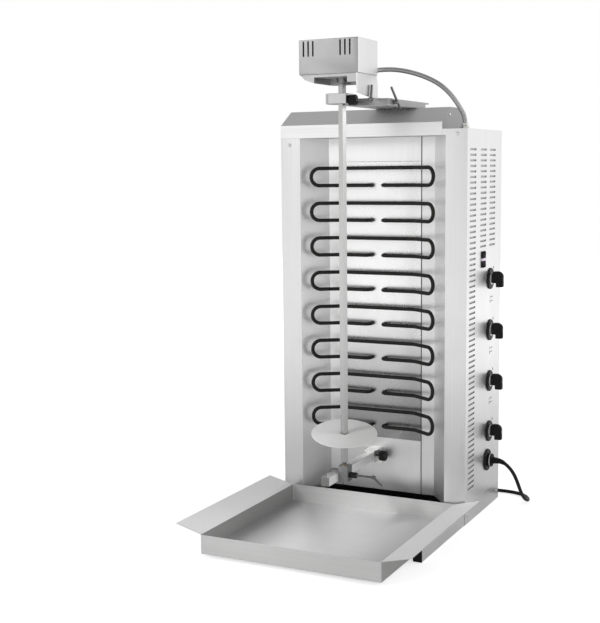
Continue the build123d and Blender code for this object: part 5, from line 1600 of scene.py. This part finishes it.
class GRILL_OT_gland(bpy.types.Operator):
    """Models the cord's round flange and its gripped dome nut"""

    bl_idname = "grill.gland"
    bl_label = "Cable gland"

    def execute(self, context):
        low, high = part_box("cable_gland")
        y, z = (low.y + high.y) / 2, (low.z + high.z) / 2
        radius = (high.y - low.y) / 2
        rim = [(0.0, 0.0), (0.0, 0.0026), (0.0014, 0.0040), (0.0042, 0.0040)]
        groove = [(0.0050, 0.0031), (0.0062, 0.0031), (0.0070, 0.0040)]
        face = [(radius - inward, along) for inward, along in rim + groove]
        flange = turned("gland_flange", [(0.0, 0.0), *face, (0.0, 0.0040)], (low.x, y, z), 64)
        round_edges(flange, 0.0003, 2)
        nut = barrel_at(48, 0.0155, 0.0100, (high.x - 0.0050, y, z))
        sink_end(nut, 0.0030, 0.0016)
        pick_grooves(nut, 12, y, z, 0.9985, beyond=0.0150)
        bpy.ops.transform.resize(value=(1.0, 0.93, 0.93), center_override=(high.x, y, z))
        end_edit()
        round_edges(nut, 0.0012, 3, 40)
        dome = [(0.0100, 0.0), (0.0104, 0.0008), (0.0096, 0.0022), (0.0088, 0.0026)]
        outline = [(0.0, 0.0), *dome, (0.0, 0.0026)]
        seal = turned("gland_seal", outline, (high.x - 0.0026, y, z), 48, smooth=40)
        face = [(0.0158, 0.0), (0.0160, 0.0004), (0.0160, 0.0016), (0.0158, 0.0020)]
        outline = [(0.0150, 0.0), *face, (0.0150, 0.0020)]
        ring = turned("gland_ring", outline, (high.x - 0.0048, y, z), 48, closed=True, smooth=40)
        dress(ring, "base", "collar_silver")
        whole = joined("gland_moulding", [flange, nut, seal])
        dress(whole, "base", "black_moulding", ["cable_gland"])
        return {"FINISHED"}


class GRILL_OT_conduit(bpy.types.Operator):
    """Runs the ribbed conduit from the motor to the control box, with its two fittings"""

    bl_idname = "grill.conduit"
    bl_label = "Conduit"

    def execute(self, context):
        step = look().rib_pitch / 4
        points = even_steps(curve_points(CONDUIT_ROUTE), step)
        heights = (0.0, 0.7, 1.0, 0.7)
        radii = [CONDUIT_RADIUS - look().rib_depth * (1 - heights[i % 4]) for i in range(len(points))]
        tube = ringed_tube("conduit_tube", points, radii, 24)
        smooth_flats(tube, 60)
        apply_place(tube)
        tube.data.materials.append(material("conduit_metal"))
        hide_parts("conduit")
        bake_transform(tube)
        self.fitting("conduit_fitting_motor", "carriage", (0.0, 1.0, 0.0), CONDUIT_ROUTE[0])
        self.fitting("conduit_fitting_box", "base", (0.0, 0.0, 1.0), CONDUIT_ROUTE[-1])
        return {"FINISHED"}

    def fitting(self, node, body, axis, mouth):
        """Hexagon foot, threaded sleeve and rounded clamping collar."""
        axis = Vector(axis)
        low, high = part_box(node)
        length = (high - low).dot(axis)
        foot_at = Vector(mouth) - axis * length
        turn = axis.to_track_quat("Z", "Y").to_euler()
        foot = barrel_at(6, 0.0102, 0.0050, foot_at + axis * 0.0025, turn)
        round_edges(foot, 0.0006, 2, 20)
        outline = [(0.0, 0.0), (0.0070, 0.0), (0.0070, 0.0052)]
        for k in range(3):
            outline += [(0.0074, 0.0056 + k * 0.0010), (0.0069, 0.0061 + k * 0.0010)]
        outline += [(0.0079, 0.0086), (0.0079, length - 0.0012), (0.0070, length), (0.0, length)]
        sleeve = turned("sleeve", outline, foot_at, 40, axis)
        round_edges(sleeve, 0.0002, 1)
        whole = joined(node + "_body", [foot, sleeve])
        dress(whole, body, "zinc_plate", [node])


class GRILL_OT_clamps(bpy.types.Operator):
    """Models the clamp screws: fluted hub, threaded stem and cross rod"""

    bl_idname = "grill.clamps"
    bl_label = "Clamp screws"

    def execute(self, context):
        self.clamp("holder_clamp", 0.0163, 0.0110, 0.06680, (-0.001, -0.007), (0.005, 0.031))
        self.clamp("block_clamp", 0.0131, 0.0065, 0.07000, (-0.007, 0.0047), (0.046, -0.0307))
        self.lever()
        self.arm_knob()
        return {"FINISHED"}

    def rod(self, name, start, end):
        """A cross rod with rounded ends."""
        start, end = Vector(start), Vector(end)
        length = (end - start).length
        tip = [(0.0, 0.0), (0.0013, 0.0002), (0.0022, 0.0009), (ROD_RADIUS, 0.0020)]
        outline = tip + [(radius, length - along) for radius, along in reversed(tip)]
        return turned(name, outline, start, 24, end - start, smooth=40)

    def hub(self, name, x, y, z, length, radius):
        """Barrel with grooves along it and rounded rims."""
        flutes = look().hub_flutes
        barrel = barrel_at(4 * flutes, radius, length, (x + length / 2, y, z))
        pick_grooves(barrel, flutes, y, z, 0.9995)
        bpy.ops.transform.resize(value=(1.0, 0.86, 0.86), center_override=(x, y, z))
        end_edit()
        round_edges(barrel, 0.0008, 3, 50)
        barrel.name = name
        return barrel

    def stem(self, name, start, end_x):
        """Threaded stem with its head."""
        pitch = look().thread_pitch
        length = end_x - start[0]
        outline = [(0.0, 0.0), (0.0022, 0.0)]
        along = pitch
        while along < length - 0.0045:
            outline += [(0.0026, along - pitch / 2), (0.0021, along)]
            along += pitch
        head = [(0.0026, -0.0040), (0.0042, -0.0035), (0.0045, -0.0031), (0.0045, 0.0031), (0.0042, 0.0035)]
        outline += [(radius, length + past) for radius, past in head + [(0.0, 0.0035)]]
        return turned(name, outline, start, 32, smooth=40)

    def clamp(self, node, hub_x, hub_radius, rod_x, low_end, high_end):
        """Black hub on a threaded stem, with a cross rod between two (y, z) places from the axis."""
        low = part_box(node)[0]
        y, z = joint_place(node)[1:]
        barrel = self.hub(node + "_hub", hub_x, y, z, 0.017, hub_radius)
        dress(barrel, node, "black_moulding", [node])
        screw = self.stem(node + "_stem", (max(low.x, hub_x - 0.0005), y, z), rod_x)
        ends = [(rod_x, y + end[0], z + end[1]) for end in (low_end, high_end)]
        whole = joined(node + "_screw", [screw, self.rod(node + "_rod", *ends)])
        dress(whole, node, "dark_screw")

    def lever(self):
        """Carriage clamp: short collar and a long rod through the screw's head."""
        low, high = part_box("carriage_lever")
        y, z = joint_place("carriage_lever")[1:]
        long = high.x - low.x
        outline = [(0.0, 0.0), (0.0030, 0.0), (0.0030, 0.0034), (0.0041, 0.0038), (0.0045, 0.0042)]
        outline += [(0.0045, long - 0.0006), (0.0040, long), (0.0, long)]
        head = turned("lever_head", outline, (low.x, y, z), 32, smooth=40)
        rod_x = high.x - ROD_RADIUS
        bar = self.rod("lever_rod", (rod_x, y + 0.024, z - 0.017), (rod_x, y - 0.032, z + 0.030))
        whole = joined("carriage_lever_screw", [head, bar])
        dress(whole, "carriage_lever", "dark_screw", ["carriage_lever"])

    def arm_knob(self):
        """Black knob with grooves on a short threaded stem."""
        low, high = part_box("arm_knob")
        y, z = joint_place("arm_knob")[1:]
        barrel = self.hub("arm_knob_hub", high.x - 0.015, y, z, 0.015, 0.012)
        dress(barrel, "arm_knob", "black_moulding", ["arm_knob"])
        screw = self.stem("arm_knob_stem", (low.x, y, z), high.x - 0.010)
        dress(screw, "arm_knob", "dark_screw")


class GRILL_OT_screws(bpy.types.Operator):
    """Models one casing screw with its cross recess and sets a copy on every place"""

    bl_idname = "grill.screws"
    bl_label = "Casing screws"

    def execute(self, context):
        model = self.screw()
        middle = (BODY_LOW + BODY_HIGH) / 2
        middle.x = 0.0
        heads = []
        for shell in islands(NODES["casing_screws"].data):
            low = Vector([min(p[k] for p in shell) for k in range(3)])
            high = Vector([max(p[k] for p in shell) for k in range(3)])
            size = high - low
            axis = min(range(3), key=lambda k: size[k])
            centre = (low + high) / 2
            normal = Vector((0.0, 0.0, 0.0))
            normal[axis] = 1.0 if centre[axis] > middle[axis] else -1.0
            foot = centre - normal * size[axis] / 2
            turn = normal.to_track_quat("Z", "Y").to_matrix().to_4x4()
            heads.append(copied(model, "screw_head", Matrix.Translation(foot) @ turn))
        bpy.data.objects.remove(model)
        whole = joined("casing_screw_heads", heads)
        dress(whole, "base", "zinc_plate", ["casing_screws"])
        return {"FINISHED"}

    def screw(self):
        """One pan head with a cross recess, at the origin and looking up."""
        rim = [(0.0040, 0.0), (0.0040, 0.0005), (0.0037, 0.0010), (0.0030, 0.0016), (0.0019, 0.0020)]
        outline = [(0.0, 0.0), *rim, (0.0, 0.0021)]
        head = turned("screw_model", outline, (0.0, 0.0, 0.0), 32, (0.0, 0.0, 1.0))
        half = look().recess_width / 2
        for wide, long in ((half, 0.0024), (0.0024, half)):
            cut_away(head, block_at("recess", (-wide, -long, 0.0008), (wide, long, 0.0040)))
        smooth_flats(head, 30)
        return head


class GRILL_PT_pieces(bpy.types.Panel):
    """Lists the grill's pieces and settings"""

    bl_idname = "GRILL_PT_pieces"
    bl_label = "Kebab Grill"
    bl_space_type = "VIEW_3D"
    bl_region_type = "UI"
    bl_category = "Grill"

    def draw(self, context):
        column = self.layout.column(align=True)
        for step in STEPS:
            column.operator(step.bl_idname)
        for name in GrillSettings.__annotations__:
            column.prop(context.scene.grill, name)


STEPS = (
    GRILL_OT_camera,
    GRILL_OT_cord,
    GRILL_OT_stage,
    GRILL_OT_sheets,
    GRILL_OT_louvres,
    GRILL_OT_joints,
    GRILL_OT_blocks,
    GRILL_OT_elements,
    GRILL_OT_knobs,
    GRILL_OT_marks,
    GRILL_OT_rocker,
    GRILL_OT_gland,
    GRILL_OT_conduit,
    GRILL_OT_clamps,
    GRILL_OT_screws,
)


def register():
    for kind in (GrillSettings, *STEPS, GRILL_PT_pieces):
        bpy.utils.register_class(kind)
    bpy.types.Scene.grill = PointerProperty(type=GrillSettings)


def unregister():
    del bpy.types.Scene.grill
    for kind in (GRILL_PT_pieces, *reversed(STEPS), GrillSettings):
        bpy.utils.unregister_class(kind)


def main():
    register()
    for step in STEPS:
        group, name = step.bl_idname.split(".")
        getattr(getattr(bpy.ops, group), name)()
    if bpy.context.object and bpy.context.object.mode != "OBJECT":
        bpy.ops.object.mode_set(mode="OBJECT")


if __name__ == "__main__":
    main()
